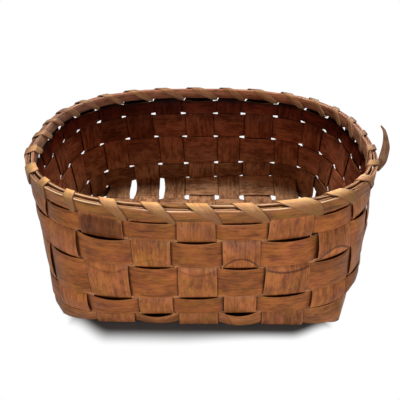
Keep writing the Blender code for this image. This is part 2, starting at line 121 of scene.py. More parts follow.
def outline_ring(level):
    """The whole outline at a height, at even shares of each quarter's arc, and a quarter's length."""
    rise = level / HOOP_HIGH
    power = FOOT_POWER + (OPEN_POWER - FOOT_POWER) * rise**POWER_RISE
    turn = np.linspace(0, math.pi / 2, 6 * ARC_STEPS)
    x = (FOOT_HALF_LENGTH + END_FLARE * rise) * np.abs(np.cos(turn)) ** (2 / power)
    y = (FOOT_HALF_WIDTH + SIDE_FLARE * rise) * np.abs(np.sin(turn)) ** (2 / power)
    arc = np.concatenate([[0], np.cumsum(np.hypot(np.diff(x), np.diff(y)))])
    even = np.linspace(0, arc[-1], ARC_STEPS + 1)
    x, y = np.interp(even, arc, x), np.interp(even, arc, y)
    back = np.stack([-x[::-1], y[::-1]], 1)
    right = np.stack([x, y], 1)
    half = np.concatenate([right[:-1], back[:-1]])
    return np.concatenate([half, -half, half[:1]]), arc[-1]


table_levels = np.linspace(0, TABLE_TOP, TABLE_STEPS)
rings = [outline_ring(level) for level in table_levels]
OUTLINES = np.array([ring for ring, _ in rings])
QUARTER_LENGTHS = np.array([length for _, length in rings])
print("plan at the rim:", np.round(OUTLINES[-1].max(axis=0) * 2 / MM, 1), "mm")

# %% [markdown]
# ## A hand-made lean
# A hand-woven basket is never quite even: stakes lean a few millimetres to one side and the
# rows sag. One small field of shifts moves the shared surface's grid, so that every strip
# follows it and none cuts its neighbour.

# %% Name the lean of the stakes and the sag of the rows
# The gaps between stakes, counted round from the right end's middle, and how far each is pushed on
LEAN_STAKES = [-0.5, 0.5, 3.5, 4.5, 5.5, 6.5, 7.5, 8.5, 9.5, 10.5, 13.5, 14.5, 17.5]
LEAN_STAKES += [18.5, 19.5, 20.5, 21.5, 22.5, 23.5, 24.5, 27.5]
LEAN_FOOT = [0, 0, -1, -2, 3, -1.5, 1.5, -2, 0, 0, 0, 0, 0, -2.5, 0, -2.5, 1, -3, 2.5, 1, 0]
LEAN_TOP = [0, 0, 0, -1, 3, 1.5, 6, 8.5, 9, 5, 1, -1, -4, -8.5, -2.5, -2, -3.5, -4, 2, 0, 0]
LEAN_MIDDLE = [0, 0, 0, 0, 0, 0, 0, 0, 0, 0, 0, 0, -6, -1, 0, 0, 0, 0, 0.5, 6, 0]
SAG_LEVELS = [0, WEAVER_LOW[0], WEAVER_HIGH[0], WEAVER_HIGH[1], WEAVER_HIGH[2], WEAVER_HIGH[3], HOOP_LOW]
SAG_ALL = [0, 2.5, 0.9, 0.9, 0.9, -0.4, 0]
SAG_TO_RIGHT = [0, 6.2, 4.6, 0, 0.4, 0, 0]
SAG_TO_FRONT = [0, 2.6, 2.5, 1.3, -0.4, 0.5, 0]
# The accidents of the wall: whether each moves it to the left (0) or to the front (1), its stake number and
# reach, its heights, and how far it moves the wall there
DENTS = (
    # The front right corner, drawn in above the foot
    (0, 25.8, 1.6, (0, 6, 14, 21, 30, 48), (3, 3.4, 1.8, -2, -1.5, 0)),
    # The belly of the wall above that corner, out to the right
    (0, 26.6, 1.5, (8, 17, 25, 36, 72, 100), (0, -2.5, -5.5, -5, -4.5, 0)),
    # The foot of that corner, pushed forward
    (1, 24.5, 0.8, (0, 10, 25), (6, 1.5, 0)),
    # The left part of the front, worn back at the foot
    (1, 19.3, 2.2, (0, 12, 26), (-3.2, -1.8, 0)),
)
print("gaps that lean:", len(LEAN_STAKES), "and dents:", len(DENTS))

# %% Turn a stake number and a height into a point


def quarter_length(level):
    """How long a quarter of the outline is at a height."""
    return np.interp(level, table_levels, QUARTER_LENGTHS)


def ring_place(stake):
    """The place round the ring, in quarters, of a stake number that may lie between two stakes."""
    ends = 3.5 * END_PITCH / (3.5 * (END_PITCH + CROSS_PITCH))
    stops = [0, ends, 1, 2 - ends, 2, 2 + ends, 3, 4 - ends, 4]
    return np.interp(np.mod(stake, STAKES), np.linspace(0, STAKES, 9), stops)


def lean(stake, level):
    """How far the grid is pushed round the ring at a stake number and a height."""
    place = np.mod(stake + 0.5, STAKES) - 0.5
    pushes = (LEAN_FOOT, LEAN_TOP, LEAN_MIDDLE)
    foot, top, middle = (np.interp(place, LEAN_STAKES, push) for push in pushes)
    rise = np.clip(level / HOOP_LOW, 0, 1)
    return (foot + (top - foot) * rise + middle * np.sin(math.pi * rise)) * MM


def nearness(stake, centre, reach):
    """1 at a stake number, and falling smoothly to nothing with the distance from it."""
    away = np.mod(stake - centre + STAKES / 2, STAKES) - STAKES / 2
    return np.exp(-((away / reach) ** 2))


def wall(stake, level):
    """Points of the wall's middle surface for arrays of stake numbers and heights."""
    stake, level = np.broadcast_arrays(np.asarray(stake, float), np.asarray(level, float))
    place = ring_place(stake) + lean(stake, level) / quarter_length(level)
    across = np.mod(place, 4) * ARC_STEPS
    up = np.clip(level / TABLE_TOP, 0, 1) * (TABLE_STEPS - 1)
    a, b = np.floor(across).astype(int), np.minimum(np.floor(up).astype(int), TABLE_STEPS - 2)
    s, t = (across - a)[..., None], (up - b)[..., None]
    low = OUTLINES[b, a] * (1 - s) + OUTLINES[b, a + 1] * s
    high = OUTLINES[b + 1, a] * (1 - s) + OUTLINES[b + 1, a + 1] * s
    plan = low * (1 - t) + high * t
    right, front = plan[..., 0] / FOOT_HALF_LENGTH, -plan[..., 1] / FOOT_HALF_WIDTH
    sags = ((SAG_ALL, 1), (SAG_TO_RIGHT, right), (SAG_TO_FRONT, front))
    sag = sum(np.interp(level, SAG_LEVELS, sizes) * share for sizes, share in sags)
    shift = np.zeros(plan.shape)
    for axis, centre, reach, levels, sizes in DENTS:
        dent = np.interp(level, np.array(levels) * MM, np.array(sizes) * MM)
        shift[..., axis] += dent * nearness(stake, centre, reach)
    plan = plan - shift
    return np.concatenate([plan, (level + sag * MM)[..., None]], axis=-1)


print("a point of the front wall:", np.round(wall(21, 0.06) / MM, 1))

# %% [markdown]
# ## The base and its turned-up edges
# Cross splints and long splints share a flat grid on the base. Where a splint turns up into
# the wall it follows a Bezier curve, which is how a damp splint bends: tight but never folded.

# %% Points of the base and of its edges
CURVE_STEPS = 60
# How far forward the base reaches at its front right corner
CORNER_FORWARD = 5 * MM


def base_spot(number, y):
    """A point of the base's middle surface: number counts cross splints from the middle one."""
    number, y = np.broadcast_arrays(np.asarray(number, float), np.asarray(y, float))
    front = lean(3 * QUARTER + number, 0)
    back = -lean(QUARTER - number, 0)
    share = (y + EDGE_START) / (2 * EDGE_START)
    x = number * CROSS_PITCH + front * (1 - share) + back * share
    return np.stack([x, y, np.full(y.shape, BASE_LEVEL)], -1)


def turn_up(start, stake, shares, pull=0.95):
    """Points at shares of the way from the base up to the foot weaver, one column per stake place."""
    end = wall(stake, WEAVER_LOW[0])
    corner = wall(stake, start[..., 2])
    near, far = start + (corner - start) * pull, end + (corner - end) * pull
    t = np.linspace(0, 1, CURVE_STEPS)[:, None, None]
    curve = (1 - t) ** 3 * start + 3 * (1 - t) ** 2 * t * near + 3 * (1 - t) * t**2 * far + t**3 * end
    distance = distances(curve)
    rows = np.empty((len(shares), len(start), 3))
    for column, length in enumerate(distance[-1]):
        for axis in range(3):
            rows[:, column, axis] = np.interp(shares * length, distance[:, column], curve[:, column, axis])
    return rows


def side_stake(number, side):
    """Stake number of a cross splint at the front (side -1) or the back (side 1)."""
    return 3 * QUARTER + number if side < 0 else QUARTER - number


def edge_rows(numbers, side, shares):
    """Points along the base's long edge: a row for each share, a column for each number."""
    start = base_spot(numbers, side * EDGE_START)
    if side < 0:
        start[..., 1] -= CORNER_FORWARD * np.clip((np.asarray(numbers) - 3) / CROSS_HALF, 0, 1)
    return turn_up(start, side_stake(numbers, side), shares)


print("base grid ready, long edge at", round(EDGE_START / MM, 1), "mm")

# %% [markdown]
# ## One ribbon, many splints
# Each splint is a ribbon: a grid of points along and across it, pushed out or in where it
# passes over or under, and given a thickness. A Solidify modifier could do the last part, but
# writing both faces ourselves lets each face know how worn, how deep and how shaded it is.

# %% Ease a value through its knots


def eased(places, knots, values):
    """Values that pass smoothly through the knots without overshooting them."""
    steps = np.diff(knots)
    slopes = np.diff(values) / steps
    left, right = slopes[:-1], slopes[1:]
    tangents = np.zeros(len(knots))
    same = left * right > 0
    tangents[1:-1][same] = 2 * left[same] * right[same] / (left[same] + right[same])
    index = np.clip(np.searchsorted(knots, places, side="right") - 1, 0, len(steps) - 1)
    t = np.clip((places - knots[index]) / steps[index], 0, 1)
    start, end = values[index], values[index + 1]
    pull = (t**3 - 2 * t**2 + t) * tangents[index] + (t**3 - t**2) * tangents[index + 1]
    return (1 - 3 * t**2 + 2 * t**3) * start + (3 * t**2 - 2 * t**3) * end + pull * steps[index]


print("halfway from 0 to 1 to 3:", eased(np.array([0.5, 1.5]), np.arange(3.0), np.array([0, 1, 3.0])).round(2))

# %% Build the mesh of a ribbon
COLUMN_SHARES = np.array([-1, -0.94, -0.7, -0.4, 0, 0.4, 0.7, 0.94, 1])
MIDDLE_COLUMN = len(COLUMN_SHARES) // 2
EDGE_THINNING = 0.55
WEAR_REACH = 1.7 * MM
FLOOR_CLEARANCE = 0.05 * MM
MIDDLE = np.array([0, 0, HOOP_HIGH / 2])
# The angles, in degrees, past which an edge of a splint and of a hoop stays sharp
SPLINT_SHARP, HOOP_SHARP = 38, 50


def out_ways(middle):
    """The outward way at each point of a grid, away from the basket's middle."""
    out = unit(np.cross(np.gradient(middle, axis=0), np.gradient(middle, axis=1)))
    return out * np.sign(np.sum(out * (middle - MIDDLE)))


def grid_faces(rows, columns, start=0):
    """Four-sided faces of a grid of points."""
    index = start + np.arange(rows * columns).reshape(rows, columns)
    corners = [index[:-1, :-1], index[:-1, 1:], index[1:, 1:], index[1:, :-1]]
    return np.stack(corners, -1).reshape(-1, 4)


def new_piece(name, points, faces, attributes, sharp):
    """An object in the scene, with vectors stored on its points and smooth up to a sharp angle."""
    mesh = bpy.data.meshes.new(name)
    mesh.from_pydata(points, [], faces)
    for key, values in attributes.items():
        flat = values.astype(np.float32).ravel()
        mesh.attributes.new(key, "FLOAT_VECTOR", "POINT").data.foreach_set("vector", flat)
    mesh.shade_smooth()
    mesh.set_sharp_from_angle(angle=math.radians(sharp))
    piece = bpy.data.objects.new(name, mesh)
    bpy.context.scene.collection.objects.link(piece)
    return piece


def ribbon(name, outer, inner, attributes):
    """A closed strip between an outer and an inner grid of points, with vectors stored on its points."""
    rows, columns, _ = outer.shape
    count = rows * columns
    top, bottom = grid_faces(rows, columns), grid_faces(rows, columns, count)[:, ::-1]
    index = np.arange(count).reshape(rows, columns)
    sides = []
    for line in (index[:, 0][::-1], index[:, -1], index[0], index[-1][::-1]):
        sides.append(np.stack([line[:-1], line[1:], line[1:] + count, line[:-1] + count], -1))
    faces = np.concatenate([top, bottom] + [side[:, ::-1] for side in sides])
    points = np.concatenate([outer.reshape(-1, 3), inner.reshape(-1, 3)])
    a, b = outer[1, 0] - outer[0, 0], outer[0, 1] - outer[0, 0]
    if np.dot(np.cross(b, a), outer[0, 0] - inner[0, 0]) < 0:
        faces = faces[:, ::-1]
    both = {key: np.concatenate([a.reshape(-1, 3), b.reshape(-1, 3)]) for key, (a, b) in attributes.items()}
    return new_piece(name, points.tolist(), faces.tolist(), both, SPLINT_SHARP)


print("columns across a splint:", len(COLUMN_SHARES))

# %% [markdown]
# ## How a splint passes over its neighbour
# A splint that passes over another touches it at both edges and bows away between them. Some
# also lift along one edge, and some keep the curved crease of a stiff bend close to where they
# dive under. Each crossing gets its own draw of these, from a generator with a fixed seed.

# %% Name the sizes and styles of the crossings
BULGE, CUP, EDGE_LIFT, CREASE_RISE = 0.5 * MM, 0.25 * MM, 1.0 * MM, 0.9 * MM
CREASE_DEPTH = 6.0 * MM
FAR = 3 * MM
TONE_SPREAD = 0.25
CREASE_CHANCE = 0.08
UNITS = {"start": CREASE_RISE, "end": CREASE_RISE, "tone": 1.0, "depth": 1.0}
# By (stake, row): how far the low and the high edge lift in millimetres, how strong a crease is at the start and
# at the end, how deep it lies, and how much paler the wood is
STAKE_STYLES = {
    (17, 1): {"tone": 0.4}, (17, 3): {"tone": 0.4}, (18, 0): {"tone": 0.9}, (18, 2): {"high": 1.1, "tone": 0.2},
    (19, 3): {"high": 0.5, "tone": -0.9}, (20, 2): {"high": 1.0, "end": 0.3, "tone": 0.1},
    (21, 3): {"low": 1.1, "high": 0.6, "tone": -0.3}, (23, 3): {"low": 1.0, "tone": -0.15},
    (22, 2): {"low": 0.3, "end": 1.3, "depth": 1.6, "tone": 0.2}, (24, 1): {"tone": 0.1},
    (24, 2): {"low": 1.1, "end": 1.4, "depth": 1.4}, (19, 1): {"high": 1.2, "start": 0.5, "tone": 0.1},
    (21, 1): {"high": 0.7, "start": 0.5, "tone": 0.1}, (20, 0): {"high": 0.6},
    (23, 1): {"low": 0.6, "start": 1.2, "depth": 0.6, "tone": 0.1},
    (24, 0): {"low": 0.5, "tone": 0.3}, (22, 0): {"low": 0.3, "high": 0.2},
    (8, 3): {"tone": -0.5}, (9, 3): {"tone": -1.2}, (10, 3): {"tone": -0.9}, (11, 3): {"tone": -0.6},
    (9, 2): {"tone": -0.9}, (10, 2): {"tone": -1.0},
}
# The same for the weavers, by (row, stake)
WEAVER_STYLES = {
    (2, 19): {"high": 2.1}, (2, 21): {"high": 1.1}, (2, 23): {"high": 1.7},
    (1, 20): {"high": 1.0}, (1, 22): {"high": 0.9}, (1, 24): {"high": 0.9, "low": 0.2},
    (0, 19): {"high": 1.4}, (0, 21): {"high": 1.1}, (0, 23): {"high": 1.3},
    (3, 20): {"high": 0.5}, (3, 22): {"high": 0.4}, (3, 24): {"high": 0.6},
    (1, 18): {"high": 0.5, "tone": 0.1}, (0, 17): {"tone": 0.4}, (2, 17): {"tone": 0.3}, (3, 18): {"tone": 0.2},
    (3, 8): {"tone": -0.6}, (3, 9): {"tone": -1.2}, (3, 10): {"tone": -1.2}, (3, 11): {"tone": -0.6},
    (2, 9): {"tone": -0.8}, (2, 10): {"tone": -0.9},
}
# How much darker or paler the stakes are beside each weaver, and each weaver is itself; the top row's darker
# stakes beneath the rim are partly dust and partly painted shade
ROW_TONES = (-0.1, 0.05, 0.05, -0.25)
WEAVER_TONES = (-0.6, -0.05, 0.05, 0.05)
print("crossings with a chosen style:", len(STAKE_STYLES) + len(WEAVER_STYLES))

# %% Draw the shape of a crossing


def crossing_style(random, outside, flat=False, chosen=None):
    """How one crossing bows: its bulge, cup, lifted edges and creases, drawn by chance or partly chosen."""
    size = 0.0 if flat else (1.0 if outside else 0.6)

    def crease():
        return CREASE_RISE * (0.3 + 0.4 * random.random()) * size * (random.random() < CREASE_CHANCE)

    style = {
        "bulge": BULGE * (0.35 + 1.1 * random.random()) * size,
        "cup": CUP * (0.4 + random.random()) * size,
        "low": EDGE_LIFT * random.random() ** 2 * size,
        "high": EDGE_LIFT * random.random() ** 2 * size,
        "start": crease(),
        "end": crease(),
        "tone": TONE_SPREAD * random.normal(),
        "depth": 1.0,
        "bare": False,
    }
    if chosen is not None:
        style.update(start=0.0, end=0.0)
        style.update({key: value * UNITS.get(key, MM) for key, value in chosen.items()})
    return style


print("each crossing has", sorted(crossing_style(np.random.default_rng(0), outside=True)))

# %% Pass over and under
BOW_POWER = 0.7
# How far from its crossing's end a crease lies at the splint's edges, and from what share of the crossing it fades
CREASE_END, CREASE_FADE = 0.6 * MM, 0.35
TINY = 1e-6


def passing(along, crossings):
    """How far out a splint's middle line lies, over and under what it crosses."""
    knots, values = [along[0] - TINY], [0.0]
    for first, last, outside, style in crossings:
        side = 1 if outside else -1
        knots += [along[first], (along[first] + along[last]) / 2, along[last]]
        values += [side * LAYER, side * (LAYER + style["bulge"]), side * LAYER]
    knots, values = np.array(knots + [along[-1] + TINY]), np.array(values + [0.0])
    keep = np.concatenate([[True], np.diff(knots) > TINY / 1000])
    return eased(along, knots[keep], values[keep])


def bow(style, side, t, v, length, lift, bend, strength):
    """Adds one crossing's bow, its lifted edges and its creases to its rows of three grids."""
    arch = side * np.sin(math.pi * t) ** BOW_POWER
    lift += arch * (style["cup"] * (1 - v**2))
    lift += arch * (style["low"] * ((1 - v) / 2) ** 2 + style["high"] * ((1 + v) / 2) ** 2)
    for key, from_edge in (("start", t * length), ("end", (1 - t) * length)):
        if style[key] == 0:
            continue
        depth = CREASE_DEPTH * style["depth"] * (1 - v**2) + CREASE_END
        rise = np.clip(from_edge / depth, 0, 1)
        fade = np.cos(np.clip((from_edge / length - CREASE_FADE) / (1 - CREASE_FADE), 0, 1) * math.pi / 2)
        lift += side * style[key] * rise * fade
        near = from_edge < length / 2
        bend[:] = np.where(near, np.clip(from_edge - depth, -FAR, FAR), bend)
        strength[:] = np.where(near & (from_edge > 0), style[key] / CREASE_RISE, strength)


def worn_corners(random, along, edge, share, crossings):
    """How bare each point is rubbed, near the corners of the crossings where a splint lies outside."""
    wear_and_painted_light = np.zeros(edge.shape)
    for first, last, outside, _ in crossings:
        for row in (first, last):
            for side in (-1, 1):
                size = max(0, random.random() * 1.8 - 0.9) * outside
                near = ((along - along[row])[:, None] / WEAR_REACH) ** 2 + (edge / WEAR_REACH) ** 2
                wear_and_painted_light = np.maximum(wear_and_painted_light, size * np.exp(-near) * (share * side > 0))
    return wear_and_painted_light


print("over a neighbour a splint's middle stands", round(LAYER / MM, 2), "mm off, before it bows")

# %% Weave a splint from its rows of points
# Columns farther out than this share of the half width are a splint's thinned edges
EDGE_COLUMN = 0.97


def splint(name, middle, crossings, width, seed):
    """A woven splint: middle is its grid, crossings its (first row, last row, outside, style)."""
    random = np.random.default_rng(seed)
    columns = middle.shape[1]
    along = distances(middle[:, columns // 2])
    lift = np.repeat(passing(along, crossings)[:, None], columns, axis=1)
    share = np.broadcast_to(COLUMN_SHARES, lift.shape)
    flat = share * 0
    bend, strength = flat + FAR, flat.copy()
    for first, last, outside, style in crossings:
        rows = slice(first, last + 1)
        length = along[last] - along[first]
        t = ((along[rows] - along[first]) / length)[:, None]
        bow(style, 1 if outside else -1, t, share[rows], length, lift[rows], bend[rows], strength[rows])
    thickness = THICKNESS * np.where(np.abs(share) > EDGE_COLUMN, EDGE_THINNING, 1)
    edge = (1 - np.abs(share)) * width / 2
    stops = [(along[row], style["tone"]) for first, last, _, style in crossings for row in (first, last)]
    tone = np.interp(along, *zip(*stops))[:, None] + flat
    wear_and_painted_light = worn_corners(random, along, edge, share, crossings)
    out = out_ways(middle)
    outer = middle + out * (lift + thickness / 2)[..., None]
    inner = middle + out * (lift - thickness / 2)[..., None]
    outer[..., 2] = np.maximum(outer[..., 2], FLOOR_CLEARANCE)
    inner[..., 2] = np.maximum(inner[..., 2], FLOOR_CLEARANCE + thickness / 2)
    grain = np.stack([along[:, None] + flat, share * width / 2, flat + random.random() * 10], -1)
    shown = np.clip(0.5 + 0.5 * lift / LAYER, 0, 1)
    shown_inside = 1 - shown
    for first, last, _, style in crossings:
        if style["bare"]:
            shown_inside[first : last + 1] = 1
    level = middle[..., 2]
    attributes = {
        "grain": (grain, grain + np.array([0, 0, 3.7])),
        "marks": (np.stack([shown, flat, edge], -1), np.stack([shown_inside, flat + 1, edge], -1)),
        "bend": (np.stack([bend, strength, level], -1), np.stack([flat + FAR, flat, level], -1)),
        "shade": (np.stack([tone, wear_and_painted_light, flat], -1), np.stack([tone, flat, flat], -1)),
    }
    return ribbon(name, outer, inner, attributes)


print("edges thinned to", round(THICKNESS * EDGE_THINNING / MM, 2), "mm")

# %% Space the rows between knots
ROW_STEP = 1.8 * MM


def spaced(knots, scale, step=ROW_STEP):
    """Values that run through all knots with even steps between, and the row of each knot."""
    values, rows = [knots[0]], [0]
    for a, b in zip(knots[:-1], knots[1:]):
        count = max(2, round(abs(b - a) * scale / step))
        values += list(np.linspace(a, b, count + 1)[1:])
        rows.append(len(values) - 1)
    return np.array(values), rows


def wavy(random, count, size):
    """A slow random wave along a strip, for widths and edges that aren't quite straight."""
    knots = np.linspace(0, 1, max(4, count // 12))
    return eased(np.linspace(0, 1, count), knots, random.normal(0, 1, len(knots)) * size)


print("rows every", ROW_STEP / MM, "mm")

# %% [markdown]
# ## Paths up the walls and over the base
# A splint's rows of points come in stretches: down one wall, round the edge, over the base,
# round the other edge and up again. Each stretch also says where it is crossed, and whether
# the splint is on the outer side there.

# %% Join stretches into one splint
# Where a stake passes behind the hoops it is pared to this share of its width, between these heights
PARED = 0.72
PARED_LEVELS = [HOOP_LOW - 0.8 * MM, HOOP_LOW + 1.5 * MM]
# How much a stake's width and its middle waver, as shares of the way to the next stake
WAVER_WIDTH, WAVER_MIDDLE = 0.008, 0.006
SPLINTS = {}
FLAT = {"bulge": 0.0, "cup": 0.0, "low": 0.0, "high": 0.0, "start": 0.0, "end": 0.0, "tone": 0.0, "bare": False}


def join(stretches):
    """One grid and one list of crossings from stretches of (grid, crossings), end to start."""
    grids, crossings, row = [], [], 0
    for index, (grid, marks) in enumerate(stretches):
        skip = 0 if index == 0 else 1
        grids.append(grid[skip:])
        crossings += [(first + row - skip, last + row - skip, *rest) for first, last, *rest in marks]
        row += len(grid) - skip
    return np.concatenate(grids), crossings


def backwards(stretch):
    """The same stretch, from its other end."""
    grid, marks = stretch
    last_row = len(grid) - 1
    turned = [(last_row - last, last_row - first, *rest) for first, last, *rest in marks]
    return grid[::-1], turned[::-1]


def marked(rows, crossings, start=0):
    """Crossings, (outside, style) each, with the rows of the two knots that each lies between."""
    return [(*rows[2 * k + start : 2 * k + start + 2], *each) for k, each in enumerate(crossings)]


def weave(name, stretches, width, seed):
    """Joins stretches end to end into the splint that stands for the strip of this name."""
    SPLINTS[name] = splint(f"woven_{name}", *join(stretches), width, seed)


def wall_stretch(stake, half, random, flip):
    """A stake from the foot weaver's lower edge up to its top inside the rim."""
    knots = [level for pair in zip(WEAVER_LOW, WEAVER_HIGH) for level in pair] + [HOOP_LOW, STAKE_TOP]
    levels, rows = spaced(knots, 1)
    shares = COLUMN_SHARES * (-1 if flip else 1)
    pared = np.interp(levels, PARED_LEVELS, [1, PARED])
    edges = half * shares[None, :] * (pared + wavy(random, len(levels), WAVER_WIDTH))[:, None]
    edges = edges + wavy(random, len(levels), WAVER_MIDDLE)[:, None]
    grid = wall(stake + edges, np.repeat(levels[:, None], len(shares), 1))
    crossings = []
    for row in range(len(WEAVERS)):
        outside = (stake + len(WEAVERS) - row) % 2 == 0
        style = crossing_style(random, outside, chosen=STAKE_STYLES.get((stake, row)))
        style["tone"] += ROW_TONES[row]
        crossings.append((outside, style))
    return grid, marked(rows, crossings + [(True, FLAT)])


print("stretches end to end make a splint")

# %% [markdown]
# ## Cross splints
# Seven wide splints cross the base from front to back and rise as the stakes of the long
# walls. At the long edges each passes outside or inside the outermost long splints.

# %% Weave the cross splints
LONG_EACH_SIDE = 3
# The turned-up edge: its length, its rows' spacing, and between which shares of it the outermost long splint lies
EDGE_LENGTH, EDGE_STEP = 25 * MM, 1.2 * MM
EDGE_SHARES = (0.12, 0.98)
BASE_STEP = 2.4 * MM
# At the back left, beside the break, the cross splints are worn narrower by this share
WORN_SHARE = 0.075
FOOT_TONE = -0.45


def edge_stretch(number, side, random):
    """A cross splint round the base's long edge, from the base up to the foot weaver."""
    shares, rows = spaced([0, *EDGE_SHARES, 1], EDGE_LENGTH, EDGE_STEP)
    columns = number + CROSS_HALF * COLUMN_SHARES
    grid = edge_rows(columns, side, shares)
    if side > 0 and number <= -1:
        middle = grid[:, MIDDLE_COLUMN : MIDDLE_COLUMN + 1]
        narrow = 1 - WORN_SHARE * np.sin(math.pi * np.clip(shares * 1.1, 0, 1)) ** 0.6
        grid = middle + (grid - middle) * narrow[:, None, None]
    outside = (number + 4) % 2 == 0
    style = crossing_style(random, outside)
    style["tone"] += FOOT_TONE
    # In the break no long splint covers the second cross splint, so no painted shade darkens its inner face
    style["bare"] = side > 0 and number == -2
    return grid, [(rows[1], rows[2], outside, style)]


def cross_base_stretch(number, random):
    """A cross splint over the flat of the base, from front to back."""
    knots, crossings = [], []
    for long_number in range(-2, 3):
        knots += [long_number * LONG_PITCH - LONG_WIDTH / 2, long_number * LONG_PITCH + LONG_WIDTH / 2]
        outside = (number + long_number) % 2 == 1
        crossings.append((outside, crossing_style(random, outside, flat=outside)))
    values, rows = spaced([-EDGE_START, *knots, EDGE_START], 1, BASE_STEP)
    grid = base_spot(*np.meshgrid(number + CROSS_HALF * COLUMN_SHARES, values))
    return grid, marked(rows, crossings, start=1)


for number in range(-3, 4):
    random = np.random.default_rng(100 + number)
    front = wall_stretch(side_stake(number, -1), CROSS_HALF, random, flip=False)
    back = wall_stretch(side_stake(number, 1), CROSS_HALF, random, flip=True)
    front_edge = edge_stretch(number, -1, random)
    back_edge = edge_stretch(number, 1, random)
    base = cross_base_stretch(number, random)
    stretches = [backwards(front), backwards(front_edge), base, back_edge, back]
    weave(f"cross_splint_{number + 4}", stretches, CROSS_WIDTH, 200 + number)
print("cross splints:", len(SPLINTS), "with", len(SPLINTS["cross_splint_4"].data.polygons), "faces each")

# %% [markdown]
# ## Long splints
# Five splints run flat along the base and rise as the stakes of the end walls. The outermost
# two wrap the base's long edges, so their width bends round with the edge.

# %% Weave the five flat long splints
TURN_LENGTH, TURN_STEP = 27 * MM, 1.5 * MM


def turn_stretch(starts, stakes):
    """A splint from the base's end up to the foot weaver, in the columns that starts gives."""
    shares, _ = spaced([0, 1], TURN_LENGTH, TURN_STEP)
    return turn_up(starts, stakes, shares), []


def end_stake(number, side):
    """Stake number of a long splint at the left end (side -1) or the right end (side 1)."""
    return number if side > 0 else 2 * QUARTER - number


def cross_knots(first, last):
    """The places of both edges of each cross splint from the first to the last."""
    return [n + CROSS_HALF * half for n in range(first, last + 1) for half in (-1, 1)]


def long_base_stretch(number, random):
    """A long splint over the flat of the base, from left to right."""
    values, rows = spaced(cross_knots(-3, 3), CROSS_PITCH, BASE_STEP)
    across = number * LONG_PITCH + COLUMN_SHARES * LONG_WIDTH / 2
    grid = base_spot(np.repeat(values[:, None], len(across), 1), across[None, :])
    outsides = [(number + cross_number) % 2 == 0 for cross_number in range(-3, 4)]
    return grid, marked(rows, [(outside, crossing_style(random, outside, flat=outside)) for outside in outsides])


for number in range(-2, 3):
    random = np.random.default_rng(300 + number)
    ends = {}
    for side in (-1, 1):
        starts = base_spot(side * (3 + CROSS_HALF), number * LONG_PITCH + COLUMN_SHARES * LONG_WIDTH / 2)
        climb = wall_stretch(end_stake(number, side), LONG_HALF, random, flip=side < 0)
        stakes = end_stake(number + LONG_HALF * COLUMN_SHARES, side)
        ends[side] = [turn_stretch(starts, stakes), climb]
    left, right = ends[-1], ends[1]
    stretches = [backwards(left[1]), backwards(left[0]), long_base_stretch(number, random), *right]
    weave(f"long_splint_{number + 4}", stretches, LONG_WIDTH, 400 + number)
print("splints so far:", len(SPLINTS))

# %% [markdown]
# ## The outermost long splints and the break
# At the back the outermost splint has broken away between the first and the third cross
# splint. What is left is two lengths with torn ends, and light comes through where it is gone.

# %% Weave the outermost long splints
# How far the outermost splint's upper edge stands off near the middle, and how ragged a torn end is
STRIP_LIFT = 2.8 * MM
TORN = 0.09
STRIP_STEP = 2.0 * MM


def edge_strip_stretch(number, first, last, random, torn):
    """An outermost long splint along its edge between two cross splints; torn tells which ends are broken."""
    side = 1 if number > 0 else -1
    values, rows = spaced(cross_knots(first, last), CROSS_PITCH, STRIP_STEP)
    shares = EDGE_SHARES[0] + (EDGE_SHARES[1] - EDGE_SHARES[0]) * (COLUMN_SHARES + 1) / 2
    columns = np.repeat(values[:, None], len(shares), 1)
    splinters = TORN * random.random(len(shares))
    if torn[0]:
        columns[0] += splinters
    if torn[1]:
        columns[-1] -= splinters
    grid = np.empty((len(values), len(shares), 3))
    for row, numbers in enumerate(columns):
        spots = edge_rows(numbers, side, shares)
        grid[row] = spots[np.arange(len(shares)), np.arange(len(shares))]
    crossings = []
    for cross_number in range(first, last + 1):
        outside = (number + cross_number) % 2 == 0
        style = crossing_style(random, outside, flat=not outside)
        if outside:
            style.update(bulge=0.3 * MM, cup=0.0, low=0.0, high=0.0)
            style["high" if side > 0 else "low"] = STRIP_LIFT * (abs(cross_number) < 2)
        crossings.append((outside, style))
    return grid if side > 0 else grid[:, ::-1], marked(rows, crossings)


def outer_end(number, side, random, columns):
    """The turn of an outermost long splint into an end wall, and its climb there."""
    turn = turn_stretch(columns, end_stake(number + LONG_HALF * COLUMN_SHARES, side))
    return [turn, wall_stretch(end_stake(number, side), LONG_HALF, random, flip=side < 0)]


def outer_long(name, number, first, last, ends, seed):
    """One length of an outermost long splint; ends says at which ends it climbs a wall."""
    random = np.random.default_rng(seed)
    strip = edge_strip_stretch(number, first, last, random, (-1 not in ends, 1 not in ends))
    stretches = [strip]
    if 1 in ends:
        stretches += outer_end(number, 1, random, strip[0][-1])
    if -1 in ends:
        left = outer_end(number, -1, random, strip[0][0])
        stretches = [backwards(left[1]), backwards(left[0])] + stretches
    weave(name, stretches, LONG_WIDTH, seed + 50)


outer_long("long_splint_1", -3, -3, 3, (-1, 1), 501)
outer_long("long_splint_7", 3, -1, 3, (1,), 502)
outer_long("long_splint_7_broken_end", 3, -3, -3, (-1,), 503)
print("splints now:", len(SPLINTS))

# %% [markdown]
# ## Weavers
# Four splints ring the wall, each over one stake and behind the next, and each ends lapped
# over its own start behind a stake. Their rows of points run round the wall, their columns up.

# %% Weave the four weavers
# How much a weaver wavers and twists, and how much higher the top one's upper edge stands at the back, and how
# many stakes to each side
WEAVER_WAVER, WEAVER_TWIST = 0.18 * MM, 0.15 * MM
BACK_RISE, BACK_REACH = 0.8 * MM, 4.5


def stake_half(stake):
    """Half the width of a stake, as a share of the way to the next."""
    half_round = STAKES // 2
    from_end = min(stake % half_round, -stake % half_round)
    return LONG_HALF if from_end <= LONG_EACH_SIDE else CROSS_HALF


def lap_stake(row):
    """The stake behind which a weaver's ends are lapped."""
    start = 5 + 2 * row
    return start + (start + len(WEAVERS) - row) % 2


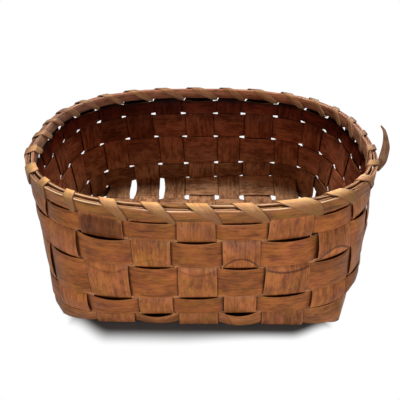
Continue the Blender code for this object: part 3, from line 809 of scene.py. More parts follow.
for row, node in enumerate(WEAVERS):
    random = np.random.default_rng(600 + row)
    first = lap_stake(row)
    knots = [k + stake_half(k) * half for k in range(first, first + STAKES + 1) for half in (-1, 1)]
    values, rows = spaced(knots, CROSS_PITCH)
    width = WEAVER_HIGH[row] - WEAVER_LOW[row]
    levels = (WEAVER_LOW[row] + WEAVER_HIGH[row]) / 2 + COLUMN_SHARES[None, :] * width / 2
    levels = levels * np.ones((len(values), 1)) + wavy(random, len(values), WEAVER_WAVER)[:, None]
    levels += wavy(random, len(values), WEAVER_TWIST)[:, None] * COLUMN_SHARES[None, :]
    if node == WEAVERS[-1]:
        back = np.exp(-(((np.mod(values, STAKES) - QUARTER) / BACK_REACH) ** 4))
        levels += BACK_RISE * back[:, None] * np.clip(COLUMN_SHARES, 0, 1)[None, :]
    grid = wall(np.repeat(values[:, None], len(COLUMN_SHARES), 1), levels)
    crossings = []
    for stake in range(first, first + STAKES + 1):
        outside = (stake + len(WEAVERS) - row) % 2 == 1
        chosen = WEAVER_STYLES.get((row, stake % STAKES))
        style = crossing_style(random, outside, chosen=chosen)
        style["tone"] += WEAVER_TONES[row]
        if outside and chosen is None:
            style["high"] += 0.4 * EDGE_LIFT
        crossings.append((outside, style))
    weave(node, [(grid, marked(rows, crossings))], width, 700 + row)
print("foot weaver faces:", len(SPLINTS[WEAVERS[0]].data.polygons))

# %% [markdown]
# ## Rim hoops and filler
# Two stout hoops clamp the stake tops, with a thin strip laid on the tops between them. Each
# hoop is swept round the wall from a small rounded section, and wanders a little in height.

# %% Name the looks of the rim
# The height that the finishes take for the whole rim, between their low and high stains
RIM_LEVEL = 72 * MM
# How much finer the hoops' strands are than the splints' bands
STRANDS = 2.2
# How dark the rim's wood is round its way, pale at the front and dark at the back, by stake number
TONE_STAKES = [0, 2, 5, 9, 12, 14, 16, 18, 19, 23, 25, 27, 28]
TONE_RIM = [0.42, 0.6, 0.7, 0.8, 0.6, 0.28, 0.2, 0.1, 0, 0, 0.1, 0.35, 0.5]
TONE_LASHING = [0.7, 0.75, 0.85, 0.7, 0.75, 0.25, 0.05, 0, 0, 0, 0.17, 0.6, 0.85]
# How far its colour has faded to grey there
FADED = [0.6, 0.3, 0, 0.3, 0.8, 0.8, 0.4, 0.1, 0, 0, 0, 0.4, 0.6]
# Where round the rim the outer faces of the hoops are darkened with painted shade
SHADED_FACE_STAKES, SHADED_FACE_TONES = [9.5, 11, 14.5, 15.5], [0, -1.5, -1.5, 0]
# How much painted shade darkens the hoops' faces along their lower edge
FACE_FOOT_SHADE = -0.55
# At the back the inner hoop is darker still low down with painted shade, and pale along its top
BACK_STAKES, BACK_SHARES = [0, 2, 12, 14, 28], [0, 1, 1, 0, 0]
BACK_FOOT_SHADE = -1.3
# Which points of a hoop's section are its outer face, that face's foot and its worn edge, and of the inner hoop's
# the inside's foot and top
FACE, FACE_FOOT, WORN_EDGE = (15, 0, 1, 2, 3, 4), slice(2, 4), slice(5, 7)
INNER_FOOT, INNER_TOP = slice(12, 15), slice(8, 11)
print("the rim's tone changes at", len(TONE_STAKES), "places")

# %% Sweep a strip round the rim
HOOP_STEPS = 420


def section(half_thick, low, high, corner):
    """A closed rounded section: places out from the wall's middle, and heights."""
    spots = []
    for x, z, turn in ((1, -1, -90), (1, 1, 0), (-1, 1, 90), (-1, -1, 180)):
        centre = (x * (half_thick - corner), (low + corner) if z < 0 else (high - corner))
        for step in range(4):
            angle = math.radians(turn + 30 * step)
            spots.append((centre[0] + corner * math.cos(angle), centre[1] + corner * math.sin(angle)))
    return np.array(spots)


def rim_ways(stakes):
    """On the rim: a point at the hoops' lower edge, the way out and the way up, for each place."""
    low = wall(stakes, HOOP_LOW)
    up = wall(stakes, HOOP_HIGH) - low
    along = wall(stakes + 0.02, HOOP_LOW) - wall(stakes - 0.02, HOOP_LOW)
    out = np.cross(along, up)
    return low, unit(out), unit(up)


def tube(name, rings, grain, marks, wear_and_painted_light):
    """A closed tube through rings of points, capped at both ends; the last argument is its painted shade, wear and
    fading at each point.
    """
    steps, size, _ = rings.shape
    index = np.arange(steps * size).reshape(steps, size)
    ahead = np.roll(index, -1, axis=1)
    sides = np.stack([index[:-1], ahead[:-1], ahead[1:], index[1:]], -1).reshape(-1, 4)
    faces = sides.tolist() + [index[0, ::-1].tolist(), index[-1].tolist()]
    points, plain = rings.reshape(-1, 3), rings * 0
    attributes = {"grain": grain, "marks": marks, "bend": plain + [FAR, 0, RIM_LEVEL], "shade": plain + wear_and_painted_light}
    piece = new_piece(name, points.tolist(), faces, attributes, HOOP_SHARP)
    if np.sum(points[sides[:, 0]] * np.cross(points[sides[:, 1]], points[sides[:, 2]])) < 0:
        piece.data.flip_normals()
    return piece


def swept_ring(name, first, last, middle, thick, low, high, corner, seed, waver):
    """A strip swept round the rim; middle and thick may change along it."""
    random = np.random.default_rng(seed)
    stakes = np.linspace(first, last, HOOP_STEPS)
    around = np.mod(stakes, STAKES)
    base, out, up = rim_ways(stakes)
    middle, thick = np.broadcast_to(middle, stakes.shape), np.broadcast_to(thick, stakes.shape)
    rise = wavy(random, HOOP_STEPS, waver)
    shape = section(thick.max() / 2, low, high, min(corner, thick.max() * 0.4))
    rings, grain, marks, wear_and_painted_light = np.zeros((4, HOOP_STEPS, len(shape), 3))
    for step in range(HOOP_STEPS):
        spots = section(thick[step] / 2, low, high, min(corner, thick[step] * 0.4))
        spread = middle[step] + spots[:, :1]
        rings[step] = base[step] + out[step] * spread + up[step] * (spots[:, 1:] - HOOP_LOW - abs(rise[step]))
    grain[..., 0] = distances(base)[:, None]
    grain[..., 1] = STRANDS * distances(shape)
    grain[..., 2] = seed % 10
    marks[...] = 1, 0, 2 * MM
    marks[..., 1] = np.interp(around, TONE_STAKES, TONE_RIM)[:, None]
    # Painted shade on the faces in the first number, wear along an edge in the second, fading in the third
    wear_and_painted_light[:, WORN_EDGE, 1] = np.clip(0.7 + wavy(random, HOOP_STEPS, 0.35), 0, 1)[:, None]
    wear_and_painted_light[:, FACE_FOOT, 0] = FACE_FOOT_SHADE
    wear_and_painted_light[..., 2] = np.interp(around, TONE_STAKES, FADED)[:, None]
    if middle.mean() > 0:
        wear_and_painted_light[:, FACE, 0] += np.interp(around, SHADED_FACE_STAKES, SHADED_FACE_TONES)[:, None]
    else:
        back = np.interp(around, BACK_STAKES, BACK_SHARES)[:, None]
        wear_and_painted_light[:, INNER_FOOT, 0] = BACK_FOOT_SHADE * back
        wear_and_painted_light[:, INNER_TOP, 1] = back * np.clip(0.45 + wavy(random, HOOP_STEPS, 0.5), 0, 1)[:, None]
    return tube(name, rings, grain, marks, wear_and_painted_light)


print("points round a hoop's section:", len(section(1, 0, 1, 0.1)))

# %% Bend the hoops and lay the filler


def scarf(first, side):
    """Middle and thickness of a hoop whose two ends are halved and lapped over one stake."""
    stakes = np.linspace(first - CROSS_HALF, first + STAKES + CROSS_HALF, HOOP_STEPS)
    half = (HOOP_THICKNESS - CLEARANCE) / 2
    shift = (half + CLEARANCE) / 2
    starts = np.clip((first + 0.5 - stakes) / 0.12, 0, 1)
    ends = np.clip((stakes - first - STAKES + 0.5) / 0.12, 0, 1)
    middle = side * HOOP_MIDDLE - shift * starts + shift * ends
    return stakes[0], stakes[-1], middle, HOOP_THICKNESS + (half - HOOP_THICKNESS) * (starts + ends)


RIM = {}
INNER_RISE, INNER_SHIFT = 1.2 * MM, 0.9 * MM
# The bent hoops start a little higher than the packed ones, and are a little slimmer
HOOP_START, HOOP_SLIM = HOOP_LOW + 1.0 * MM, 0.9
HOOP_CORNER, HOOP_WAVER = 0.95 * MM, 0.25 * MM
for node, first, side in (("rim_hoop_outer", 25, 1), ("rim_hoop_inner", 4, -1)):
    start, stop, middle, thick = scarf(first, side)
    rise = INNER_RISE if side < 0 else 0.0
    middle = middle - (INNER_SHIFT if side < 0 else 0.0)
    heights = HOOP_START + rise / 2, HOOP_HIGH + rise
    sizes = (start, stop, middle, thick * HOOP_SLIM, *heights, HOOP_CORNER)
    RIM[node] = swept_ring(f"bent_{node}", *sizes, 811 + side, HOOP_WAVER)
FILLER_HEIGHT, FILLER_EASE, FILLER_CORNER, FILLER_WAVER = 2.4 * MM, 0.5 * MM, 0.3 * MM, 0.3 * MM
heights = FILLER_HIGH - FILLER_HEIGHT, FILLER_HIGH - FILLER_EASE
sizes = (QUARTER + 0.43, QUARTER + STAKES + 0.39, 0.0, THICKNESS, *heights, FILLER_CORNER)
RIM["rim_filler_strip"] = swept_ring("bent_rim_filler_strip", *sizes, 820, FILLER_WAVER)
print("rim pieces:", sorted(RIM))

# %% [markdown]
# ## The lashing
# One thin pale splint winds round the rim, once in every gap between stakes. It slips under
# the hoops where the gap is, climbs inside, and slants over the top to the next gap.

# %% Trace one turn of the lashing
LASH_THICKNESS, LASH_CLEARANCE = 0.7 * MM, 0.2 * MM
LASH_CORNER, LASH_OVER = 1.3 * MM, 0.33 * MM
NECK_WIDTH = 4.2 * MM
LASH_COLUMNS = np.array([-1, -0.9, -0.45, 0, 0.45, 0.9, 1])
TURN_ROWS = 44
# Along a turn, which starts under the hoops, climbs inside and comes down outside: how far it has moved on to the
# next gap when it slants, the same when it stands upright outside, how wide it is, and how lit: a painted
# highlight over the top, and painted shade under the hoops and down the outer face
TURN_STOPS = [0, 0.1, 0.3, 0.4, 0.6, 0.75, 0.9, 1.0]
TURN_SLANTED = TURN_STOPS, [0, 0.03, 0.3, 0.46, 0.66, 0.84, 0.99, 1.0]
TURN_STEEP = TURN_STOPS, [0, 0.2, 0.64, 0.78, 0.9, 0.96, 1.0, 1.0]
TURN_WIDE = [0, 0.09, 0.2, 0.5, 0.7, 0.93, 1.0], [0, 0.05, 0.85, 1.0, 0.78, 0.06, 0]
TURN_LIT = [0, 0.1, 0.34, 0.47, 0.54, 0.62, 1.0], [-1, -0.8, 1, 1, -0.5, -0.9, -1.4]


def lash_outline():
    """Rows of one turn: place out and height, way out and up of the face, and the four shares named above."""
    out = RIM_HALF + LASH_CLEARANCE + LASH_THICKNESS / 2
    low = HOOP_LOW - LASH_CLEARANCE - LASH_THICKNESS / 2
    turn = section(out, low, FILLER_HIGH + LASH_OVER + LASH_THICKNESS / 2, LASH_CORNER)
    turn[turn[:, 0] < 0, 0] -= INNER_SHIFT
    turn[(turn[:, 0] < 0) & (turn[:, 1] > HOOP_HIGH), 1] += INNER_RISE / 2
    path = np.concatenate([[(0, low)], turn[::-1], [(0, low)]])
    distance = distances(path)
    even = np.linspace(0, distance[-1], TURN_ROWS + 1)
    spots = np.stack([np.interp(even, distance, path[:, k]) for k in (0, 1)], 1)
    ways = np.gradient(spots, axis=0)
    faces = unit(np.stack([-ways[:, 1], ways[:, 0]], 1))
    curves = (TURN_SLANTED, TURN_STEEP, TURN_WIDE, TURN_LIT)
    shares = [eased(even / distance[-1], np.array(stops), np.array(values)) for stops, values in curves]
    return spots, faces, *shares


print("a turn of lashing is", round(distances(lash_outline()[0])[-1] / MM, 1), "mm round")

# %% Wind the lashing


def lashing(name, first_gap, widths, upright, seed, tail=None, skip=(0, 0)):
    """A length of lashing, with each turn's width and how upright it stands outside."""
    spots, faces, slanted, steep, wide, lit = lash_outline()
    turns = len(widths)
    rows = []
    for turn in range(turns):
        for k in range(TURN_ROWS + (turn == turns - 1)):
            width = NECK_WIDTH + (widths[turn] - NECK_WIDTH) * wide[k]
            place = first_gap + turn + slanted[k] + (steep[k] - slanted[k]) * upright[turn]
            dark, faded = (np.interp(place % STAKES, TONE_STAKES, values) for values in (TONE_LASHING, FADED))
            rows.append((place, *spots[k], *faces[k], width, lit[k], dark, faded))
    rows = np.array(rows)[skip[0] : len(rows) - skip[1]]
    place, away, rise, face_out, face_up, width, *looks = (column[:, None] for column in rows.T)
    base, out, up = rim_ways(place + LASH_COLUMNS * width / 2 / CROSS_PITCH)
    middle = base + out * away[..., None] + up * (rise[..., None] - HOOP_LOW)
    face = out * face_out[..., None] + up * face_up[..., None]
    if tail is not None:
        middle, face = np.concatenate([tail[0], middle]), np.concatenate([tail[1], face])
        width, *looks = (np.concatenate(pair) for pair in zip(tail[2], (width, *looks)))
    lit, dark, faded = looks
    thickness = LASH_THICKNESS * np.where(np.abs(LASH_COLUMNS) > EDGE_COLUMN, EDGE_THINNING, 1)[None, :, None]
    outer, inner = middle + face * thickness / 2, middle - face * thickness / 2
    along = distances(middle[:, len(LASH_COLUMNS) // 2])
    flat = np.zeros(middle.shape[:2])
    both = {
        "grain": np.stack([along[:, None] + flat, LASH_COLUMNS * width / 2, flat + seed], -1),
        "marks": np.stack([flat + 1, flat + dark, (1 - np.abs(LASH_COLUMNS)) * width / 2], -1),
        "bend": np.stack([flat + FAR, flat, flat + RIM_LEVEL], -1),
        "shade": np.stack([flat + lit, flat, flat + faded], -1),
    }
    return ribbon(name, outer, inner, {key: (values, values) for key, values in both.items()})


print("rows in a turn of lashing:", TURN_ROWS)

# %% Bend the loose end
TAIL_ROWS = 44
# Along the loose end from the hoops to its tip: how far it stands out, its height, its lean along the rim, and
# its width
TAIL_STOPS = np.array([0, 0.12, 0.3, 0.5, 0.7, 0.85, 1.0])
TAIL_OUT = np.array([0, 0.9, 1.9, 2.2, 0.9, -1.2, -4.2]) * MM
TAIL_UP = np.array([0, 3.5, 9.8, 17.0, 24.2, 29.5, 32.5]) * MM
TAIL_ALONG = np.array([0, 0.6, 2.2, 4.4, 7.4, 10.0, 12.0]) * MM
TAIL_WIDE = np.array([4.2, 5.6, 6.6, 6.0, 3.8, 2.2, 1.0]) * MM
# How light, how dark and how faded it is, and how far along it is fully twisted
TAIL_LOOKS = (-0.4, 0.9, 0.4)
TAIL_TWISTED = 0.3


def loose_end(gap):
    """The lashing's loose end, from its tip down to the gap where it goes under the hoops."""
    low, out, up = (way[0] for way in rim_ways(np.array([gap])))
    along = np.cross(up, out)
    clear = LASH_CLEARANCE + LASH_THICKNESS
    start = low - up * (clear - LASH_THICKNESS / 2) + out * (RIM_HALF + 2 * clear)
    share = np.linspace(1, 0, TAIL_ROWS)
    curves = (TAIL_OUT, TAIL_UP, TAIL_ALONG, TAIL_WIDE)
    away, rise, back, width = (eased(share, TAIL_STOPS, curve)[:, None] for curve in curves)
    spots = start + out * away + up * rise + along * back
    slant = -unit(np.gradient(spots, axis=0))
    twist = np.clip(share / TAIL_TWISTED, 0, 1)[:, None]
    turned = np.cross(out, slant) * (1 - 0.75 * twist) + out * twist
    turned = unit(turned - slant * np.sum(turned * slant, axis=1, keepdims=True))
    face = np.cross(turned, slant)
    middle = spots[:, None] + turned[:, None] * (LASH_COLUMNS * width / 2)[..., None]
    faces = np.repeat(face[:, None], len(LASH_COLUMNS), 1)
    return middle, faces, [width] + [np.full(width.shape, look) for look in TAIL_LOOKS]


random = np.random.default_rng(900)
TAIL_GAP, TURNS = -1.5, 14
back_widths = (11 + 3 * random.random(TURNS)) * MM
front_widths = np.array([11, 12, 14, 17, 10.5, 10.5, 11, 13, 16, 14.5, 20, 16, 12, 11]) * MM
back_upright = np.zeros(TURNS)
front_upright = np.array([0, 0.2, 0.6, 1.3, 1.0, 0.95, 0.4, 0, 0, 0, 0, 0, 0.3, 0.2])
back = lashing("wound_rim_lashing_back", TAIL_GAP, back_widths, back_upright, 1.0, loose_end(TAIL_GAP), (0, 3))
front = lashing("wound_rim_lashing_front", TAIL_GAP + TURNS, front_widths, front_upright, 2.0, skip=(3, 3))
RIM.update(rim_lashing_back=back, rim_lashing_front=front)
print("lashing faces:", len(back.data.polygons))

# %% [markdown]
# ## Grain, as one shader group
# Splint grain runs along each strip, so it can't come from object coordinates. Every strip
# carries its own distance along and across as an attribute, and one node group turns that
# into fine lines, broad bands, short dark flecks and blotches, for every material here.

# %% Helpers for shader nodes


class Nodes:
    """Makes and joins nodes of one tree with few words."""

    def __init__(self, tree):
        self.tree = tree

    def new(self, kind, **values):
        """A node of this kind, with its settings."""
        node = self.tree.nodes.new(kind)
        for key, value in values.items():
            setattr(node, key, value)
        return node

    def feed(self, socket, value):
        """Joins an output to a socket, or sets the socket to a plain value."""
        if isinstance(value, bpy.types.NodeSocket):
            self.tree.links.new(value, socket)
        else:
            socket.default_value = value

    def math(self, operation, a, b=0.0, clamp=False):
        """A sum, a product or other arithmetic on two values."""
        node = self.new("ShaderNodeMath", operation=operation, use_clamp=clamp)
        self.feed(node.inputs[0], a)
        self.feed(node.inputs[1], b)
        return node.outputs[0]

    def times(self, a, b, clamp=False):
        return self.math("MULTIPLY", a, b, clamp)

    def plus(self, a, b, clamp=False):
        return self.math("ADD", a, b, clamp)

    def most(self, a, b):
        return self.math("MAXIMUM", a, b)

    def ramp(self, value, low, high, start=0.0, stop=1.0):
        """A smooth step from start at the low value to stop at the high one."""
        node = self.new("ShaderNodeMapRange", interpolation_type="SMOOTHSTEP")
        keys = ("Value", "From Min", "From Max", "To Min", "To Max")
        for key, number in zip(keys, (value, low, high, start, stop)):
            self.feed(node.inputs[key], number)
        return node.outputs[0]

    def mix(self, share, a, b, blend="MIX"):
        """Colour a, in this share of it mixed with colour b."""
        node = self.new("ShaderNodeMix", data_type="RGBA", blend_type=blend)
        self.feed(node.inputs[0], share)
        self.feed(node.inputs[6], a)
        self.feed(node.inputs[7], b)
        return node.outputs[2]

    def tint(self, share, colour, by):
        """The colour, in this share of it multiplied by another."""
        return self.mix(share, colour, by, "MULTIPLY")

    def parts(self, vector):
        """The three numbers of a vector."""
        node = self.new("ShaderNodeSeparateXYZ")
        self.feed(node.inputs[0], vector)
        return node.outputs

    def noise(self, vector, scale, detail=2.0, rough=0.5):
        """Noise that is this fine along each axis."""
        stretch = self.new("ShaderNodeVectorMath", operation="MULTIPLY")
        self.feed(stretch.inputs[0], vector)
        stretch.inputs[1].default_value = scale
        node = self.new("ShaderNodeTexNoise")
        self.feed(node.inputs["Vector"], stretch.outputs[0])
        node.inputs["Scale"].default_value = 1.0
        node.inputs["Detail"].default_value = detail
        node.inputs["Roughness"].default_value = rough
        return node.outputs["Fac"]


def group(name, inputs, outputs):
    """A new node group with named inputs and outputs: (name, kind, value) and (name, kind)."""
    tree = bpy.data.node_groups.new(name, "ShaderNodeTree")
    for key, kind, value in inputs:
        socket = tree.interface.new_socket(name=key, in_out="INPUT", socket_type=kind)
        socket.default_value = value
    for key, kind in outputs:
        tree.interface.new_socket(name=key, in_out="OUTPUT", socket_type=kind)
    nodes = Nodes(tree)
    return nodes, nodes.new("NodeGroupInput").outputs, nodes.new("NodeGroupOutput").inputs


print("helpers:", [key for key in vars(Nodes) if not key.startswith("_")])

# %% Build the grain group
COLOUR, VALUE, VECTOR = "NodeSocketColor", "NodeSocketFloat", "NodeSocketVector"
# The noises of the grain: fine lines, bands, dashes, blotches, hue, pores, and where pores gather. Each has its
# fineness along a strip, across it and from strip to strip, then its detail and its roughness
NOISES = (
    ((45, 1500, 9.1), 4.0, 0.7), ((16, 260, 5.3), 3.0, 0.6), ((130, 520, 1.9), 3.0, 0.6),
    ((55, 75, 3.1), 4.0, 0.6), ((60, 75, 6.6), 2.0, 0.5), ((300, 1700, 7.7), 1.0), ((60, 220, 2.3), 1.0),
)
OLIVE, MAUVE, FLECKED = (0.92, 1.08, 0.66, 1), (0.98, 0.9, 1.35, 1), (0.42, 0.3, 0.26, 1)


def build_grain():
    """Grain of a split wood strip: a colour, its tone, a roughness and a height."""
    inputs = [("Grain", VECTOR, (0, 0, 0)), ("Pale", COLOUR, (0.5, 0.25, 0.1, 1))]
    inputs += [("Dark", COLOUR, (0.2, 0.07, 0.03, 1)), ("Bands", VALUE, 1.0), ("Flecks", VALUE, 1.0)]
    outputs = [("Color", COLOUR), ("Tone", VALUE), ("Roughness", VALUE), ("Height", VALUE)]
    nodes, given, put = group("splint grain", inputs, outputs)
    fine, bands, dashes, blotch, hue, pores, where = (nodes.noise(given["Grain"], *noise) for noise in NOISES)
    tone = nodes.times(nodes.ramp(fine, 0.34, 0.66), 0.2)
    tone = nodes.plus(tone, nodes.times(nodes.ramp(bands, 0.34, 0.66), nodes.times(given["Bands"], 0.22)))
    tone = nodes.plus(tone, nodes.times(nodes.ramp(dashes, 0.38, 0.62), 0.28))
    tone = nodes.plus(tone, nodes.times(nodes.ramp(blotch, 0.38, 0.62), 0.34), clamp=True)
    colour = nodes.mix(tone, given["Dark"], given["Pale"])
    colour = nodes.tint(nodes.ramp(hue, 0.52, 0.7, 0.0, 0.7), colour, OLIVE)
    colour = nodes.tint(nodes.ramp(hue, 0.3, 0.48, 0.7, 0.0), colour, MAUVE)
    fleck = nodes.times(nodes.ramp(pores, 0.58, 0.70), nodes.ramp(where, 0.5, 0.62))
    fleck = nodes.times(fleck, given["Flecks"], clamp=True)
    nodes.feed(put["Color"], nodes.tint(nodes.times(fleck, 0.8), colour, FLECKED))
    nodes.feed(put["Tone"], tone)
    nodes.feed(put["Roughness"], nodes.ramp(fine, 0.2, 0.8, 0.62, 0.44))
    height = nodes.plus(nodes.times(fine, 0.5), nodes.times(dashes, 0.6))
    nodes.feed(put["Height"], nodes.math("SUBTRACT", height, nodes.times(fleck, 0.5)))
    return nodes.tree


GRAIN = build_grain()
print("grain group nodes:", len(GRAIN.nodes))

# %% [markdown]
# ## Age and painted light, as a second group
# Handling keeps the raised middles warm and polished. Painted shade darkens where strips dive
# under and along creases, with a painted highlight beside each crease, and edges are lighter with
# wear and painted highlight, and outlined in painted shade on the lashing. The inside has darkened
# to a deep red brown that turns greyer low down, with painted shade higher up and painted
# near-black shade under the rim. The masks for all of this travel with the points of each strip.

# %% Build the age and painted light group
# What the wood's colour is multiplied by: painted shade high up inside, the dark and the pale grain of the inside,
# dark and pale splints with the rim's painted light and shade, near the foot, painted shade where a strip is
# hidden, painted shade on a crease's line and a painted highlight on the wood beside it
DEEP, GRAIN_DARK, GRAIN_PALE = (0.34, 0.17, 0.17, 1), (0.5, 0.42, 0.4, 1), (1.5, 1.6, 1.7, 1)
DARKER, PALER, SCUFFED = (0.41, 0.33, 0.26, 1), (1.35, 1.3, 1.2, 1), (0.6, 0.74, 1.05, 1)
PAINTED_UNDER_SHADE, PAINTED_CREASE_SHADE, PAINTED_CREASE_HIGHLIGHT = (0.14, 0.09, 0.08, 1), (0.38, 0.3, 0.24, 1), (1.3, 1.25, 1.1, 1)
# Painted shade under the rim, and the dark and the pale grain of wood that has faded to grey
PAINTED_SHADE_UNDER_RIM, GREY_DARK, GREY_PALE = (0.012, 0.003, 0.002, 1), (0.09, 0.06, 0.05, 1), (0.5, 0.36, 0.29, 1)


def build_age_and_painted_light():
    """Age and painted light over a wood colour: a colour and a roughness, from the masks that strips carry."""
    inputs = [("Color", COLOUR, (0.4, 0.2, 0.1, 1)), ("Tone", VALUE, 0.5), ("Roughness", VALUE, 0.5)]
    inputs += [("Grain", VECTOR, (0, 0, 0)), ("Marks", VECTOR, (1, 0, 0.01)), ("Bend", VECTOR, (0.003, 0, 0))]
    inputs += [("Shade", VECTOR, (0, 0, 0)), ("Inside", COLOUR, (0.1, 0.03, 0.015, 1))]
    inputs += [("Low inside", COLOUR, (0.2, 0.12, 0.07, 1)), ("Edge", COLOUR, (0.5, 0.3, 0.15, 1))]
    inputs += [("Edge share", VALUE, 0.32)]
    outputs = [("Color", COLOUR), ("Roughness", VALUE), ("Shine", VALUE)]
    nodes, given, put = group("splint age and painted light", inputs, outputs)
    shown, inside, edge = nodes.parts(given["Marks"])
    crease, strength, level = nodes.parts(given["Bend"])
    tone_and_painted_light, wear_and_painted_light, faded = nodes.parts(given["Shade"])
    # The stained inside: grey low down, then red brown, with painted shade deeper higher up and nearly black under
    # the rim
    inside_colour_and_shade = nodes.tint(nodes.ramp(level, 78 * MM, 105 * MM), given["Inside"], DEEP)
    inside_colour_and_shade = nodes.mix(nodes.ramp(level, 105 * MM, 111 * MM), inside_colour_and_shade, PAINTED_SHADE_UNDER_RIM)
    inside_colour_and_shade = nodes.mix(nodes.ramp(level, 20 * MM, 72 * MM), given["Low inside"], inside_colour_and_shade)
    stain = nodes.noise(given["Grain"], (70, 110, 4.4), 3.0, 0.6)
    light = nodes.plus(nodes.times(given["Tone"], 0.9), nodes.times(stain, 0.5))
    inside_colour_and_shade = nodes.tint(1.0, inside_colour_and_shade, nodes.mix(nodes.ramp(light, 0.3, 1.1), GRAIN_DARK, GRAIN_PALE))
    colour = nodes.mix(inside, given["Color"], inside_colour_and_shade)
    # Each crossing's own tone, which on the rim and lashing also carries their painted light and shade, the grey
    # of faded wood, and the foot
    colour = nodes.tint(nodes.ramp(tone_and_painted_light, -1.4, 0.0, 1.0, 0.0), colour, DARKER)
    colour = nodes.tint(nodes.ramp(tone_and_painted_light, 0.0, 1.0), colour, PALER)
    colour = nodes.mix(nodes.times(faded, 0.5), colour, nodes.mix(given["Tone"], GREY_DARK, GREY_PALE))
    scuffed = nodes.times(nodes.ramp(level, 6 * MM, 30 * MM, 0.45, 0.0), nodes.math("SUBTRACT", 1.0, inside))
    colour = nodes.tint(scuffed, colour, SCUFFED)
    # Painted shade where a strip dives under, creases, and edges
    painted_under_shade = nodes.ramp(shown, 0.0, 0.34, 0.92, 0.0)
    colour = nodes.tint(painted_under_shade, colour, PAINTED_UNDER_SHADE)
    # Painted shade on a crease's line, and a painted highlight on the wood beside it
    line = nodes.ramp(nodes.math("ABSOLUTE", crease), 0.2 * MM, 1.4 * MM, 0.85, 0.0)
    colour = nodes.tint(nodes.times(line, strength, clamp=True), colour, PAINTED_CREASE_SHADE)
    crease_highlight = nodes.ramp(crease, -2.4 * MM, -0.8 * MM, 0.7, 0.0)
    colour = nodes.tint(nodes.times(crease_highlight, strength, clamp=True), colour, PAINTED_CREASE_HIGHLIGHT)
    # Edges: lighter with wear and a painted highlight on splints and hoops, and outlined in painted shade on the
    # lashing
    rim = nodes.times(nodes.ramp(edge, 0.1 * MM, 0.9 * MM, 1.0, 0.0), given["Edge share"])
    rim = nodes.most(rim, nodes.times(wear_and_painted_light, 0.9, clamp=True))
    rim = nodes.times(rim, nodes.ramp(inside, 0.0, 1.0, 1.0, 0.15))
    nodes.feed(put["Color"], nodes.mix(rim, colour, given["Edge"]))
    nodes.feed(put["Shine"], nodes.ramp(inside, 0.0, 1.0, 0.22, 0.06))
    rough = nodes.plus(given["Roughness"], nodes.times(painted_under_shade, 0.2))
    nodes.feed(put["Roughness"], nodes.plus(rough, nodes.times(inside, 0.08), clamp=True))
    return nodes.tree


AGE_AND_PAINTED_LIGHT = build_age_and_painted_light()
print("age group nodes:", len(AGE_AND_PAINTED_LIGHT.nodes))

# %% [markdown]
# ## Finishes
# Stakes, weavers, hoops and lashing were split from different stock, so each gets its own
# pair of colours over the same two groups. The shader itself stays in the material.

# %% Mix the finishes
# How strong the grain's relief is, and how high
RELIEF, RELIEF_HEIGHT = 0.35, 0.25 * MM


def shade(red, green, blue):
    """A colour from the usual 0 to 255 numbers, as linear light."""
    linear = []
    for value in (red, green, blue):
        value /= 255
        linear.append(value / 12.92 if value <= 0.04045 else ((value + 0.055) / 1.055) ** 2.4)
    return (*linear, 1.0)


def new_material(name):
    """A material, the means to add nodes to it, and its shader."""
    material = bpy.data.materials.new(name)
    material.use_nodes = True
    return material, Nodes(material.node_tree), material.node_tree.nodes["Principled BSDF"]


def finish(name, pale, dark, inside, low_inside, edge, edge_share=0.32, bands=1.0, flecks=1.0):
    """A material of split wood in the given colours."""
    material, nodes, shader = new_material(name)
    read = {}
    for key in ("grain", "marks", "bend", "shade"):
        read[key] = nodes.new("ShaderNodeAttribute", attribute_name=key).outputs["Vector"]
    grain = nodes.new("ShaderNodeGroup", node_tree=GRAIN)
    woods = {"Grain": read["grain"], "Pale": shade(*pale), "Dark": shade(*dark), "Bands": bands, "Flecks": flecks}
    for key, value in woods.items():
        nodes.feed(grain.inputs[key], value)
    age = nodes.new("ShaderNodeGroup", node_tree=AGE_AND_PAINTED_LIGHT)
    links = {key: grain.outputs[key] for key in ("Color", "Tone", "Roughness")}
    links.update({key.capitalize(): output for key, output in read.items()})
    links.update({"Inside": shade(*inside), "Low inside": shade(*low_inside), "Edge": shade(*edge)})
    links["Edge share"] = edge_share
    for key, value in links.items():
        nodes.feed(age.inputs[key], value)
    relief = nodes.new("ShaderNodeBump")
    relief.inputs["Strength"].default_value = RELIEF
    relief.inputs["Distance"].default_value = RELIEF_HEIGHT
    nodes.feed(relief.inputs["Height"], grain.outputs["Height"])
    for key, output in (("Base Color", "Color"), ("Roughness", "Roughness"), ("Specular IOR Level", "Shine")):
        nodes.feed(shader.inputs[key], age.outputs[output])
    nodes.feed(shader.inputs["Normal"], relief.outputs["Normal"])
    return material


INSIDE, LOW_INSIDE = (160, 92, 60), (164, 116, 80)
RIM_DARK, LASHING_DARK = (176, 108, 78), (120, 80, 56)
# Each finish's colours: pale and dark grain, the stained inside, the same low down, and edges, lighter with wear
# and a painted highlight, and on the lashing a painted shade outline. After them come how strongly edges show, how
# strong the grain's bands are, and how many flecks it has
WOODS = {
    "cross_splint": ("stake splint", (198, 120, 64), (100, 50, 22), INSIDE, LOW_INSIDE, (196, 134, 80)),
    "long_splint": ("end splint", (194, 120, 64), (96, 50, 22), INSIDE, LOW_INSIDE, (192, 130, 80)),
    "weaver": ("weaver splint", (184, 108, 51), (92, 44, 17), INSIDE, LOW_INSIDE, (194, 128, 74)),
    "rim_hoop": ("hoop wood", (184, 117, 62), (64, 33, 14), RIM_DARK, RIM_DARK, (246, 208, 166), 0.3, 1.7),
    "rim_filler": ("filler wood", (224, 172, 130), (150, 98, 66), RIM_DARK, RIM_DARK, (225, 180, 140)),
    "rim_lashing": (
        "lashing splint", (236, 184, 124), (186, 126, 74), LASHING_DARK, LASHING_DARK, (92, 54, 30), 0.8, 0.7, 0.6,
    ),
}
FINISHES = {slot: finish(*wood) for slot, wood in WOODS.items()}
